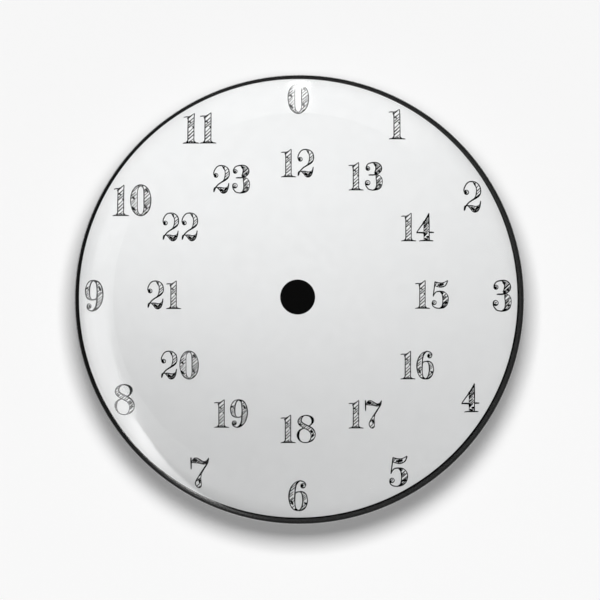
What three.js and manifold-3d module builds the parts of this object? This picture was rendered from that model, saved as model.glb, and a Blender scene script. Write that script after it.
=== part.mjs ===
// A round pressed-metal button badge, 58 mm across, with a printed paper dial under clear
// film and a locking bar pin stuck to its flat back.
// Sizes are millimetres. The face looks along -Y and the top of the dial is at +Z. The origin
// is the badge's centre in the plane of its back rim, the plane that lies against the cloth.
import * as THREE from "three";
import { mergeVertices } from "three/addons/utils/BufferGeometryUtils.js";
import Module from "manifold-3d";

const wasm = await Module();
wasm.setup();

const degrees = THREE.MathUtils.degToRad;

// Face and rim, measured on the outside of the finished badge
const faceDiameter = 58;
const crownSlope = degrees(6.5); // tilt of the crown where the edge roll starts
const rollWidth = 3.6; // the edge roll is a quarter ellipse, this far in from the side
const rollHeight = 3.0; // and this far forward of the side's widest line
const curlRadius = 1.2; // outer corner of the crimped curl
const landWidth = 0.6; // flat ring that the crimping die leaves on the back
const tuckRadius = 0.8; // inner corner of the curl
const tuckHeight = 1.6; // the tucked edges end this far forward of the back rim

// Sheets that are wrapped over the edge together, from the outside in
const filmThickness = 0.1;
const paperThickness = 0.15;
const shellThickness = 0.25;

// Back plate
const plateThickness = 0.3;
const plateBend = 0.45; // outside radius of each bend
const floorRecess = 0.7; // the flat floor lies this far forward of the back rim
const grooveWidth = 0.6; // ring groove between the tucked edge and the dish wall
const plateHeight = 2.3; // the outer wall ends this far forward of the back rim
const plateClearance = 0.12; // between the outer wall and the shell
const beadRadius = 21.4; // middle of the stiffening bead
const beadWidth = 2.6;
const beadHeight = 0.32;

// Bar pin
const pinHeight = 7; // the bar sits this far above the centre, so the badge hangs flat
const padLength = 30;
const padWidth = 4.2;
const padThickness = 0.8;
const padCorner = 1.0;
const barLength = 34;
const barWidth = 4.6;
const barThickness = 0.6;
const barCorner = 1.2;
const barHoleRadius = 0.9;
const barHoleSpacing = 8;

// Hinge
const hingeInset = 3.8; // hinge line to the end of the bar
const needleRise = 2.5; // back face of the bar to the needle's line
const earThickness = 0.6;
const earRadius = 1.35;
const earFoot = 4.2; // length of an ear where it leaves the bar
const rivetRadius = 0.5;
const rivetHole = 0.53; // radius of the hole in each ear
const rivetHeadRadius = 0.95;
const rivetHeadHeight = 0.4;
const rivetHeadTop = 0.65; // radius of the head's flat top

// Needle
const needleRadius = 0.45;
const needleBow = 0.7; // the needle arches this far away from the bar
const needleLeadIn = 1.0; // straight length before the catch
const needlePast = 1.8; // the point stands this far past the catch
const pointLength = 2.6;
const pointRadius = 0.06;
const knuckleRadius = 1.15;
const knuckleClearance = 0.08; // between the rivet and the knuckle that turns on it
const sideClearance = 0.1; // each side of the knuckle, and inside each collar of the catch

// Safety catch: a slotted roller that turns in a C-shaped housing
const catchInset = 3.8; // middle of the housing to the end of the bar
const housingLength = 2.6;
const housingRadius = 1.6; // inside
const housingWall = 0.5;
const housingFoot = 2.6; // width of the foot on the bar
const mouthHalfAngle = degrees(66);
const rollerClearance = 0.05;
const collarRadius = 1.95;
const collarLength = 0.45;
const slotClearance = 0.1; // round the needle
const tabAngle = degrees(52); // from straight back towards +Z, with the catch open
const tabReach = 4.2; // roller axis to the tip of the thumb tab
const tabWidth = 1.8;
const tabThickness = 0.6;

// Facets
const turnSteps = 48;
const rollSteps = 4;
const bendSteps = 2;
const beadSteps = 4;
const roundSteps = 24;
const wireSides = 8;
const wireSteps = 28;

// Places worked out from the sizes
const faceRadius = faceDiameter / 2;
const landOuter = faceRadius - curlRadius;
const landInner = landOuter - landWidth;
const tuckInside = landInner - tuckRadius;
const shellDepth = filmThickness + paperThickness;
const insideDepth = shellDepth + shellThickness;
const barFront = padThickness; // in the pin's own frame, whose y = 0 is the plate's back
const barBack = barFront + barThickness;
const needleLine = barBack + needleRise;
const hingeX = hingeInset - barLength / 2;
const catchX = barLength / 2 - catchInset;
const earGap = barWidth - 2 * earThickness;
const rollerHalf = housingLength / 2 + sideClearance;
const rollerEnd = rollerHalf + collarLength;
const seat = barThickness / 2; // what stands on the bar is joined this deep into it

const metal = (color, roughness) =>
  new THREE.MeshStandardMaterial({ color, roughness, metalness: 1 });
const plain = (color, roughness) => new THREE.MeshStandardMaterial({ color, roughness });
const materials = {
  film: plain(0xf4f6f8, 0.08),
  paper: plain(0xf2f2f0, 0.8),
  tinplate: metal(0xc9ccd0, 0.35),
  foam: plain(0xe9e7df, 0.95),
  nickel: metal(0xb9b8b2, 0.25),
};

// A closed geometry as a solid that can be cut and joined.
function solidOf(geometry) {
  const bare = geometry.clone();
  bare.deleteAttribute("normal");
  bare.deleteAttribute("uv");
  const merged = mergeVertices(bare, 1e-4);
  return new wasm.Manifold(
    new wasm.Mesh({
      numProp: 3,
      vertProperties: merged.attributes.position.array,
      triVerts: new Uint32Array(merged.index.array),
    }),
  );
}

// The geometry of a solid.
function geometryOf(solid) {
  const { vertProperties, triVerts } = solid.getMesh();
  const geometry = new THREE.BufferGeometry();
  geometry.setAttribute("position", new THREE.BufferAttribute(vertProperties, 3));
  geometry.setIndex(new THREE.BufferAttribute(triVerts, 1));
  geometry.computeVertexNormals();
  return geometry;
}

// Turns a closed profile of [radius, height] round the Y axis.
function turned(profile, steps) {
  return new THREE.LatheGeometry(
    profile.map(([radius, height]) => new THREE.Vector2(radius, height)),
    steps,
  );
}

// Extrudes an outline to a given thickness, half of it to each side of z = 0.
function plateOf(outline, thickness) {
  const settings = { depth: thickness, bevelEnabled: false, curveSegments: roundSteps / 2 };
  return new THREE.ExtrudeGeometry(outline, settings).translate(0, 0, -thickness / 2);
}

// A round hole for an outline.
function holeAt(x, y, radius) {
  return new THREE.Path().absarc(x, y, radius, 0, 2 * Math.PI, true);
}

// A rectangle with round corners, centred on the origin.
function roundedRectangle(width, height, corner) {
  const [x, y] = [width / 2 - corner, height / 2 - corner];
  return new THREE.Shape()
    .absarc(x, y, corner, 0, Math.PI / 2)
    .absarc(-x, y, corner, Math.PI / 2, Math.PI)
    .absarc(-x, -y, corner, Math.PI, 1.5 * Math.PI)
    .absarc(x, -y, corner, 1.5 * Math.PI, 2 * Math.PI);
}

// The line of the wrapped sheets at a depth below the outside, as [radius, height forward of
// the back rim]: over the crown, the edge roll, the curl and the land to the tucked end.
function rimLine(depth) {
  const line = [];
  const along = (steps, from, to, place) => {
    for (let i = 0; i <= steps; i++) line.push(place(from + ((to - from) * i) / steps));
  };
  const rollMiddle = faceRadius - rollWidth;
  const rollStart = Math.atan((Math.tan(crownSlope) * rollWidth) / rollHeight);
  const crownRadius = (rollMiddle + rollWidth * Math.sin(rollStart)) / Math.sin(crownSlope);
  const crownCentre =
    curlRadius + rollHeight * Math.cos(rollStart) - crownRadius * Math.cos(crownSlope);
  along(1, 0, crownSlope / 2, (a) => [
    (crownRadius - depth) * Math.sin(a),
    crownCentre + (crownRadius - depth) * Math.cos(a),
  ]);
  along(rollSteps, rollStart, Math.PI / 2, (a) => {
    const [across, up] = [rollHeight * Math.sin(a), rollWidth * Math.cos(a)];
    const inward = depth / Math.hypot(across, up);
    return [
      rollMiddle + rollWidth * Math.sin(a) - inward * across,
      curlRadius + rollHeight * Math.cos(a) - inward * up,
    ];
  });
  line.pop(); // the curl starts on the same point
  const corner = (middle, radius, from, to) =>
    along(bendSteps, from, to, (a) => [
      middle + (radius - depth) * Math.cos(a),
      radius - (radius - depth) * Math.sin(a),
    ]);
  corner(landOuter, curlRadius, 0, Math.PI / 2);
  corner(landInner, tuckRadius, Math.PI / 2, Math.PI);
  line.push([tuckInside + depth, tuckHeight]);
  return line;
}

// One wrapped sheet between two depths.
function wrappedSheet(outside, inside) {
  return turned([...rimLine(inside), ...rimLine(outside).reverse()], turnSteps).rotateX(Math.PI);
}

// The shell's inside radius in the edge roll, at a height forward of the back rim.
function shellInsideAt(height) {
  const line = rimLine(insideDepth);
  const next = line.findIndex(([, h]) => h < height);
  const [[r0, h0], [r1, h1]] = [line[next - 1], line[next]];
  return r0 + ((r1 - r0) * (h0 - height)) / (h0 - h1);
}

// The back plate: a flat floor with a raised bead round it, a dish wall, a flange that seats
// on the tucked edges, and an outer wall that stands inside the edge roll.
function backPlate() {
  const back = [[0, floorRecess]];
  const front = [[0, floorRecess + plateThickness]];
  for (let i = 0; i <= beadSteps; i++) {
    const radius = beadRadius + beadWidth * (i / beadSteps - 0.5);
    const raised = (beadHeight * (1 - Math.cos((2 * Math.PI * i) / beadSteps))) / 2;
    back.push([radius, floorRecess - raised]);
    front.push([radius, floorRecess - raised + plateThickness]);
  }
  const bend = (radius, height, backRadius, frontRadius, from, to) => {
    for (let i = 0; i <= bendSteps; i++) {
      const a = from + ((to - from) * i) / bendSteps;
      const [c, s] = [Math.cos(a), Math.sin(a)];
      back.push([radius + backRadius * c, height + backRadius * s]);
      front.push([radius + frontRadius * c, height + frontRadius * s]);
    }
  };
  const tight = plateBend - plateThickness;
  const dishWall = tuckInside - grooveWidth;
  const outerWall = shellInsideAt(plateHeight) - plateClearance;
  bend(dishWall - plateBend, floorRecess + plateBend, plateBend, tight, -Math.PI / 2, 0);
  bend(dishWall + tight, tuckHeight - tight, tight, plateBend, Math.PI, Math.PI / 2);
  bend(outerWall - plateBend, tuckHeight + plateBend, plateBend, tight, -Math.PI / 2, 0);
  back.push([outerWall, plateHeight]);
  front.push([outerWall - plateThickness, plateHeight]);
  return turned([...back, ...front.reverse()], turnSteps).rotateX(Math.PI);
}

// The foam pad that sticks the bar to the plate.
function adhesivePad() {
  return plateOf(roundedRectangle(padLength, padWidth, padCorner), padThickness)
    .rotateX(Math.PI / 2)
    .translate(0, padThickness / 2, 0);
}

// The stamped bar with its sewing holes, the two ears of the hinge and the catch housing.
function pinBar() {
  const outline = roundedRectangle(barLength, barWidth, barCorner);
  for (const x of [-barHoleSpacing, 0, barHoleSpacing])
    outline.holes.push(holeAt(x, 0, barHoleRadius));
  const bar = plateOf(outline, barThickness)
    .rotateX(Math.PI / 2)
    .translate(0, (barFront + barBack) / 2, 0);

  const ear = new THREE.Shape()
    .moveTo(-earFoot / 2, -needleRise - seat)
    .lineTo(earFoot / 2, -needleRise - seat)
    .lineTo(earFoot / 2, -needleRise)
    .absarc(0, 0, earRadius, 0, Math.PI)
    .lineTo(-earFoot / 2, -needleRise);
  ear.holes.push(holeAt(0, 0, rivetHole));
  const ears = [-1, 1].map((side) =>
    plateOf(ear, earThickness).translate(hingeX, needleLine, (side * (earGap + earThickness)) / 2),
  );

  const outside = housingRadius + housingWall;
  const footAngle = Math.acos(housingFoot / 2 / outside);
  const [mouthLeft, mouthRight] = [Math.PI / 2 + mouthHalfAngle, Math.PI / 2 - mouthHalfAngle];
  const housing = new THREE.Shape()
    .absarc(0, 0, outside, mouthLeft, Math.PI + footAngle)
    .lineTo(-housingFoot / 2, -needleRise - seat)
    .lineTo(housingFoot / 2, -needleRise - seat)
    .absarc(0, 0, outside, -footAngle, mouthRight)
    .absarc(0, 0, housingRadius, mouthRight, mouthLeft, true);
  const standing = plateOf(housing, housingLength)
    .rotateY(-Math.PI / 2)
    .translate(catchX, needleLine, 0);

  return geometryOf([...ears, standing].reduce((all, g) => all.add(solidOf(g)), solidOf(bar)));
}

// The rivet through both ears, with a head on each side.
function hingeRivet() {
  const underHead = earGap / 2 + earThickness;
  const end = underHead + rivetHeadHeight;
  const half = [
    [rivetRadius, underHead],
    [rivetHeadRadius, underHead],
    [rivetHeadRadius, underHead + rivetHeadHeight / 2],
    [rivetHeadTop, end],
    [0, end],
  ];
  const profile = [...half.map(([r, h]) => [r, -h]).reverse(), ...half];
  return turned(profile, roundSteps).rotateX(Math.PI / 2).translate(hingeX, needleLine, 0);
}

// The needle: a knuckle on the rivet and a bowed wire with a ground point.
function needle() {
  const knuckle = new THREE.Shape().absarc(0, 0, knuckleRadius, 0, 2 * Math.PI);
  knuckle.holes.push(holeAt(0, 0, rivetRadius + knuckleClearance));
  const eye = plateOf(knuckle, earGap - 2 * sideClearance).translate(hingeX, needleLine, 0);

  const wallMiddle = (knuckleRadius + rivetRadius + knuckleClearance) / 2;
  const start = hingeX + wallMiddle;
  const straight = catchX - rollerEnd - needleLeadIn;
  const tip = catchX + rollerEnd + needlePast;
  const third = (straight - start) / 3;
  const at = (x, y) => new THREE.Vector3(x, needleLine + y, 0);
  const wirePath = new THREE.CurvePath();
  wirePath.add(
    new THREE.CubicBezierCurve3(
      at(start, 0),
      at(start + third, (needleBow * 9) / 4), // a cubic rises 4/9 of this control's height
      at(straight - third, 0),
      at(straight, 0),
    ),
  );
  wirePath.add(new THREE.LineCurve3(at(straight, 0), at(tip, 0)));
  const section = new THREE.Shape(
    Array.from({ length: wireSides }, (_, i) => {
      const a = (2 * Math.PI * (i + 0.5)) / wireSides;
      return new THREE.Vector2(needleRadius * Math.cos(a), needleRadius * Math.sin(a));
    }),
  );
  const wire = new THREE.ExtrudeGeometry(section, { steps: wireSteps, extrudePath: wirePath });

  const length = tip - hingeX + knuckleRadius;
  const widening = (needleRadius - pointRadius) / pointLength;
  const grinding = new THREE.CylinderGeometry(
    pointRadius,
    pointRadius + widening * length,
    length,
    wireSides,
  )
    .rotateY(Math.PI / wireSides)
    .rotateZ(-Math.PI / 2)
    .translate(tip - length / 2, needleLine, 0);
  return geometryOf(solidOf(wire).intersect(solidOf(grinding)).add(solidOf(eye)));
}

// The roller of the catch: a collar at each end, a slot for the needle and a thumb tab.
function safetyCatch() {
  const rollerRadius = housingRadius - rollerClearance;
  const roller = turned(
    [
      [0, -rollerEnd],
      [collarRadius, -rollerEnd],
      [collarRadius, -rollerHalf],
      [rollerRadius, -rollerHalf],
      [rollerRadius, rollerHalf],
      [collarRadius, rollerHalf],
      [collarRadius, rollerEnd],
      [0, rollerEnd],
    ],
    roundSteps,
  ).rotateZ(Math.PI / 2);

  const slotRadius = needleRadius + slotClearance;
  const tabRoot = (rollerRadius + slotRadius) / 2;
  const tabRound = tabWidth / 2;
  const tabOutline = new THREE.Shape()
    .moveTo(-tabRound, tabRoot)
    .lineTo(tabRound, tabRoot)
    .absarc(0, tabReach - tabRound, tabRound, 0, Math.PI);
  const tab = plateOf(tabOutline, tabThickness).rotateX(tabAngle);

  const slotOutline = new THREE.Shape()
    .absarc(0, 0, slotRadius, Math.PI, 2 * Math.PI)
    .lineTo(slotRadius, collarRadius + slotRadius)
    .lineTo(-slotRadius, collarRadius + slotRadius);
  const slot = plateOf(slotOutline, 2 * rollerEnd + slotRadius).rotateY(Math.PI / 2);

  const made = solidOf(roller).add(solidOf(tab)).subtract(solidOf(slot));
  return geometryOf(made).translate(catchX, needleLine, 0);
}

function piece(name, geometry, material) {
  const mesh = new THREE.Mesh(geometry, material);
  mesh.name = name;
  return mesh;
}

const face = new THREE.Group();
face.add(
  piece("clear_film", wrappedSheet(0, filmThickness), materials.film),
  piece("printed_disc", wrappedSheet(filmThickness, shellDepth), materials.paper),
  piece("front_shell", wrappedSheet(shellDepth, insideDepth), materials.tinplate),
);

const barPin = new THREE.Group();
barPin.position.set(0, -floorRecess, pinHeight);
barPin.add(
  piece("adhesive_pad", adhesivePad(), materials.foam),
  piece("pin_bar", pinBar(), materials.nickel),
  piece("hinge_rivet", hingeRivet(), materials.nickel),
  piece("needle", needle(), materials.nickel),
  piece("safety_catch", safetyCatch(), materials.nickel),
);

const badge = new THREE.Group();
badge.add(face, piece("back_plate", backPlate(), materials.tinplate), barPin);

export default badge;
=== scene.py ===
# %% [markdown]
# # A button badge with a twenty-four-hour dial
#
# The object is a pressed-metal button badge, 58 mm across. A printed paper disc lies under a
# clear film, both are wrapped round a tinplate shell, and a bar pin is stuck to the flat back.
# This lesson dresses the finished CAD frame. The frame is loaded first. The pieces made here
# have to stay inside it.

import math
import random

import bmesh
import bpy
from mathutils import Matrix, Vector


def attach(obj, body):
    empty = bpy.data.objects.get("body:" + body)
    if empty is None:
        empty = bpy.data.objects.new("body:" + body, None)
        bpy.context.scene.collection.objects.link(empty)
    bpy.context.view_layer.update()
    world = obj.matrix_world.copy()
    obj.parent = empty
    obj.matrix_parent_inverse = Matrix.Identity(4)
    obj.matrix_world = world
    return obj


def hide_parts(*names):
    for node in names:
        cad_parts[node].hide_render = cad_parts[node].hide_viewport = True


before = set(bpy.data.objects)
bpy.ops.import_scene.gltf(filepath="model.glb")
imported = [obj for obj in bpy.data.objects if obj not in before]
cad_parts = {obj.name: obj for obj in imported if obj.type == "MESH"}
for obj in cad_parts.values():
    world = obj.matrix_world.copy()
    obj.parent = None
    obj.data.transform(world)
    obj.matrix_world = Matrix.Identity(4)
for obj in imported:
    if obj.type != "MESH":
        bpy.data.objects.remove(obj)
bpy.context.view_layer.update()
MM = 0.001
print("CAD nodes:", ", ".join(sorted(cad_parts)))

# %% [markdown]
# ## The camera
#
# The photograph looks straight at the face. In its 600 by 600 frame the disc's centre is at
# (299.5, 299.55) and its radius is 224.8 pixels, so the picture's scale follows from the disc's
# real radius. A long lens keeps the sides as flat as the photograph shows them.

# %% Place the camera by the disc's measured size
FACE_RADIUS = 29.0
FRAME_PIXELS = 600
DISC_CENTRE = (299.5, 299.55)
DISC_RADIUS = 224.8
PIXEL = FACE_RADIUS / DISC_RADIUS  # millimetres to a pixel at the disc
CURL_RADIUS = 1.2  # the disc is widest this far in front of its back rim

lens_data = bpy.data.cameras.new("camera")
lens_data.lens = 135
lens_data.sensor_width = 36
camera = bpy.data.objects.new("camera", lens_data)
bpy.context.scene.collection.objects.link(camera)
bpy.context.scene.camera = camera
distance = FRAME_PIXELS * PIXEL * lens_data.lens / lens_data.sensor_width
camera.location = Vector(
    (
        (FRAME_PIXELS / 2 - DISC_CENTRE[0]) * PIXEL,
        -(distance + CURL_RADIUS),
        -(FRAME_PIXELS / 2 - DISC_CENTRE[1]) * PIXEL,
    )
) * MM
camera.rotation_euler = (math.radians(90), 0, 0)
bpy.context.scene.view_settings.view_transform = "Standard"
lens_data.clip_start = 0.01
lens_data.clip_end = 20
print(f"camera {distance:.1f} mm in front of the disc")

# %% [markdown]
# ## Helpers for node trees
#
# Both the shapes and the finishes are built as node trees. Small helpers keep that short: they
# add a node and fill its inputs, add a sum, read an attribute, start a Geometry Nodes tree with
# named inputs and end it in real geometry with its material.

# %% Helpers for node trees
def add_node(tree, kind, feeds=None, **settings):
    """A node with its inputs set to values or linked to other nodes' outputs."""
    node = tree.nodes.new(kind)
    for name, value in settings.items():
        setattr(node, name, value)
    for socket, value in (feeds or {}).items():
        if isinstance(value, bpy.types.NodeSocket):
            tree.links.new(value, node.inputs[socket])
        else:
            node.inputs[socket].default_value = value
    return node


def sum_of(tree, operation, a, b=0.0):
    """The result of one Math node."""
    return add_node(tree, "ShaderNodeMath", {0: a, 1: b}, operation=operation).outputs[0]


def read_attribute(tree, name, kind):
    """What a mesh has stored under a name."""
    return add_node(tree, "GeometryNodeInputNamedAttribute", {0: name}, data_type=kind).outputs[0]


def shape_tree(name, **inputs):
    """A Geometry Nodes tree with a mesh in, a mesh out and the named inputs."""
    tree = bpy.data.node_groups.new(name, "GeometryNodeTree")
    tree.interface.new_socket("Geometry", in_out="OUTPUT", socket_type="NodeSocketGeometry")
    tree.interface.new_socket("Geometry", in_out="INPUT", socket_type="NodeSocketGeometry")
    for label, kind in inputs.items():
        title = label.replace("_", " ").capitalize()
        tree.interface.new_socket(title, in_out="INPUT", socket_type="NodeSocket" + kind)
    return tree, tree.nodes.new("NodeGroupInput").outputs, tree.nodes.new("NodeGroupOutput").inputs


def end_tree(tree, geometry, finish, result):
    """Ends a tree in real geometry that wears one finish."""
    real = add_node(tree, "GeometryNodeRealizeInstances", {0: geometry}).outputs[0]
    dressed = add_node(tree, "GeometryNodeSetMaterial", {0: real, "Material": finish})
    tree.links.new(dressed.outputs[0], result[0])


# %% [markdown]
# A tree runs as a modifier. Its result is kept as a plain mesh, because the export drops the
# modifier. The other two helpers make a bare mesh for a tree to start from, and store a number or
# a vector on each of its points.

# %% Helpers for meshes
def grow(source, tree, name, **values):
    """Runs a tree on an object and keeps the result as a plain mesh object of its own."""
    modifier = source.modifiers.new(tree.name, "NODES")
    modifier.node_group = tree
    for item in tree.interface.items_tree:
        label = item.name.lower().replace(" ", "_")
        if item.in_out == "INPUT" and label in values:
            modifier[item.identifier] = values[label]
    bpy.context.view_layer.update()
    seen = source.evaluated_get(bpy.context.evaluated_depsgraph_get())
    mesh = bpy.data.meshes.new_from_object(seen)
    bpy.data.objects.remove(source)
    if mesh.materials[0] is None:
        mesh.materials.pop(index=0)
    mesh.name = name
    piece = bpy.data.objects.new(name, mesh)
    bpy.context.scene.collection.objects.link(piece)
    print(f"{name}: {len(mesh.polygons)} faces")
    return piece


def place_mesh(name, vertices, edges=(), faces=()):
    """A new object from bare lists, linked to the scene."""
    mesh = bpy.data.meshes.new(name)
    mesh.from_pydata(vertices, edges, faces)
    piece = bpy.data.objects.new(name, mesh)
    bpy.context.scene.collection.objects.link(piece)
    return piece


def give_attribute(piece, name, values, kind="FLOAT"):
    """Stores one number or vector for each point of a mesh."""
    attribute = piece.data.attributes.new(name, kind, "POINT")
    for item, value in zip(attribute.data, values):
        if kind == "FLOAT_VECTOR":
            item.vector = value
        else:
            item.value = value


# %% [markdown]
# ## The line that the sheets are pressed to
#
# Film, paper and shell are wrapped over the edge together, so all three follow one line at
# different depths: a nearly flat crown, an edge roll that is a quarter ellipse, a curl, a flat
# land and the tucked end. The line is the CAD model's own, with more points on each bend so that
# it looks smooth. It also keeps how far each point was from the middle of the flat sheet before
# the press bent it, because the print is laid out on the flat paper.

# %% The pressed line at any depth
CROWN_SLOPE = math.radians(6.5)
ROLL_WIDTH = 3.6
ROLL_HEIGHT = 3.0
LAND_WIDTH = 0.6
TUCK_RADIUS = 0.8
TUCK_HEIGHT = 1.6
FILM_THICKNESS = 0.1
PAPER_THICKNESS = 0.15
SHELL_THICKNESS = 0.25
LAND_OUTER = FACE_RADIUS - CURL_RADIUS
LAND_INNER = LAND_OUTER - LAND_WIDTH
TUCK_INSIDE = LAND_INNER - TUCK_RADIUS


def spaced(steps, first, last, keep_last=True):
    """Evenly spaced numbers from first to last."""
    return [first + (last - first) * i / steps for i in range(steps + (1 if keep_last else 0))]


def pressed_line(depth, fine=1.0):
    """Points of the pressed line as (radius, height, outward direction, how far it is gathered)."""
    line = []
    middle = FACE_RADIUS - ROLL_WIDTH
    start = math.atan(math.tan(CROWN_SLOPE) * ROLL_WIDTH / ROLL_HEIGHT)
    crown = (middle + ROLL_WIDTH * math.sin(start)) / math.sin(CROWN_SLOPE)
    centre = CURL_RADIUS + ROLL_HEIGHT * math.cos(start) - crown * math.cos(CROWN_SLOPE)
    for a in spaced(round(14 * fine), 0, CROWN_SLOPE, keep_last=False):
        out = (math.sin(a), math.cos(a))
        line.append(((crown - depth) * out[0], centre + (crown - depth) * out[1], out, 0))
    for a in spaced(round(26 * fine), start, math.pi / 2, keep_last=False):
        across, up = ROLL_HEIGHT * math.sin(a), ROLL_WIDTH * math.cos(a)
        out = (across / math.hypot(across, up), up / math.hypot(across, up))
        radius = middle + ROLL_WIDTH * math.sin(a) - depth * out[0]
        line.append((radius, CURL_RADIUS + ROLL_HEIGHT * math.cos(a) - depth * out[1], out, 0))
    for a in spaced(round(10 * fine), 0, math.pi / 2):
        out = (math.cos(a), -math.sin(a))
        reach = CURL_RADIUS - depth
        gathered = math.sin(a) ** 1.5
        line.append((LAND_OUTER + reach * out[0], CURL_RADIUS + reach * out[1], out, gathered))
    for a in spaced(round(8 * fine), math.pi / 2, math.pi):
        out = (math.cos(a), -math.sin(a))
        reach = TUCK_RADIUS - depth
        line.append((LAND_INNER + reach * out[0], TUCK_RADIUS + reach * out[1], out, 1))
    for height in spaced(3, TUCK_RADIUS, TUCK_HEIGHT)[1:]:
        line.append((TUCK_INSIDE + depth, height, (-1, 0), 1))
    return line


def flat_distances(line):
    """How far along the line each point is, from the middle of the face."""
    total, distances = 0, []
    before = line[0]
    for point in line:
        total += math.hypot(point[0] - before[0], point[1] - before[1])
        distances.append(total)
        before = point
    return distances


paper_line = pressed_line(FILM_THICKNESS)
paper_flat = flat_distances(paper_line)
print(f"the paper was cut {2 * paper_flat[-1]:.1f} mm across")

# %% [markdown]
# ## The press, as a node tree
#
# Everything round on a badge is turned about one axis, so one tree turns any section. It lays a
# grid whose rows are the section's points and whose columns go round, and moves each grid point
# to its place. Where the sheet is gathered over the back of the rim it can't lie smooth, because
# the flat circle is too wide for the smaller ring there, so the tree also presses small pleats
# into it. The pleats' spacing wanders by a noise that closes on itself, with a fixed seed. The
# flat distance becomes a UV map, the sheet as it was before pressing.

# %% The tree that turns and pleats a section
FLAT_SPAN = 0.1  # metres of flat sheet across the whole UV square
PLEAT_WANDER = 26.0  # radians by which a noise moves the pleats round
PLEAT_SHARPNESS = 3.0
SHARP_BEND = math.radians(40)


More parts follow.
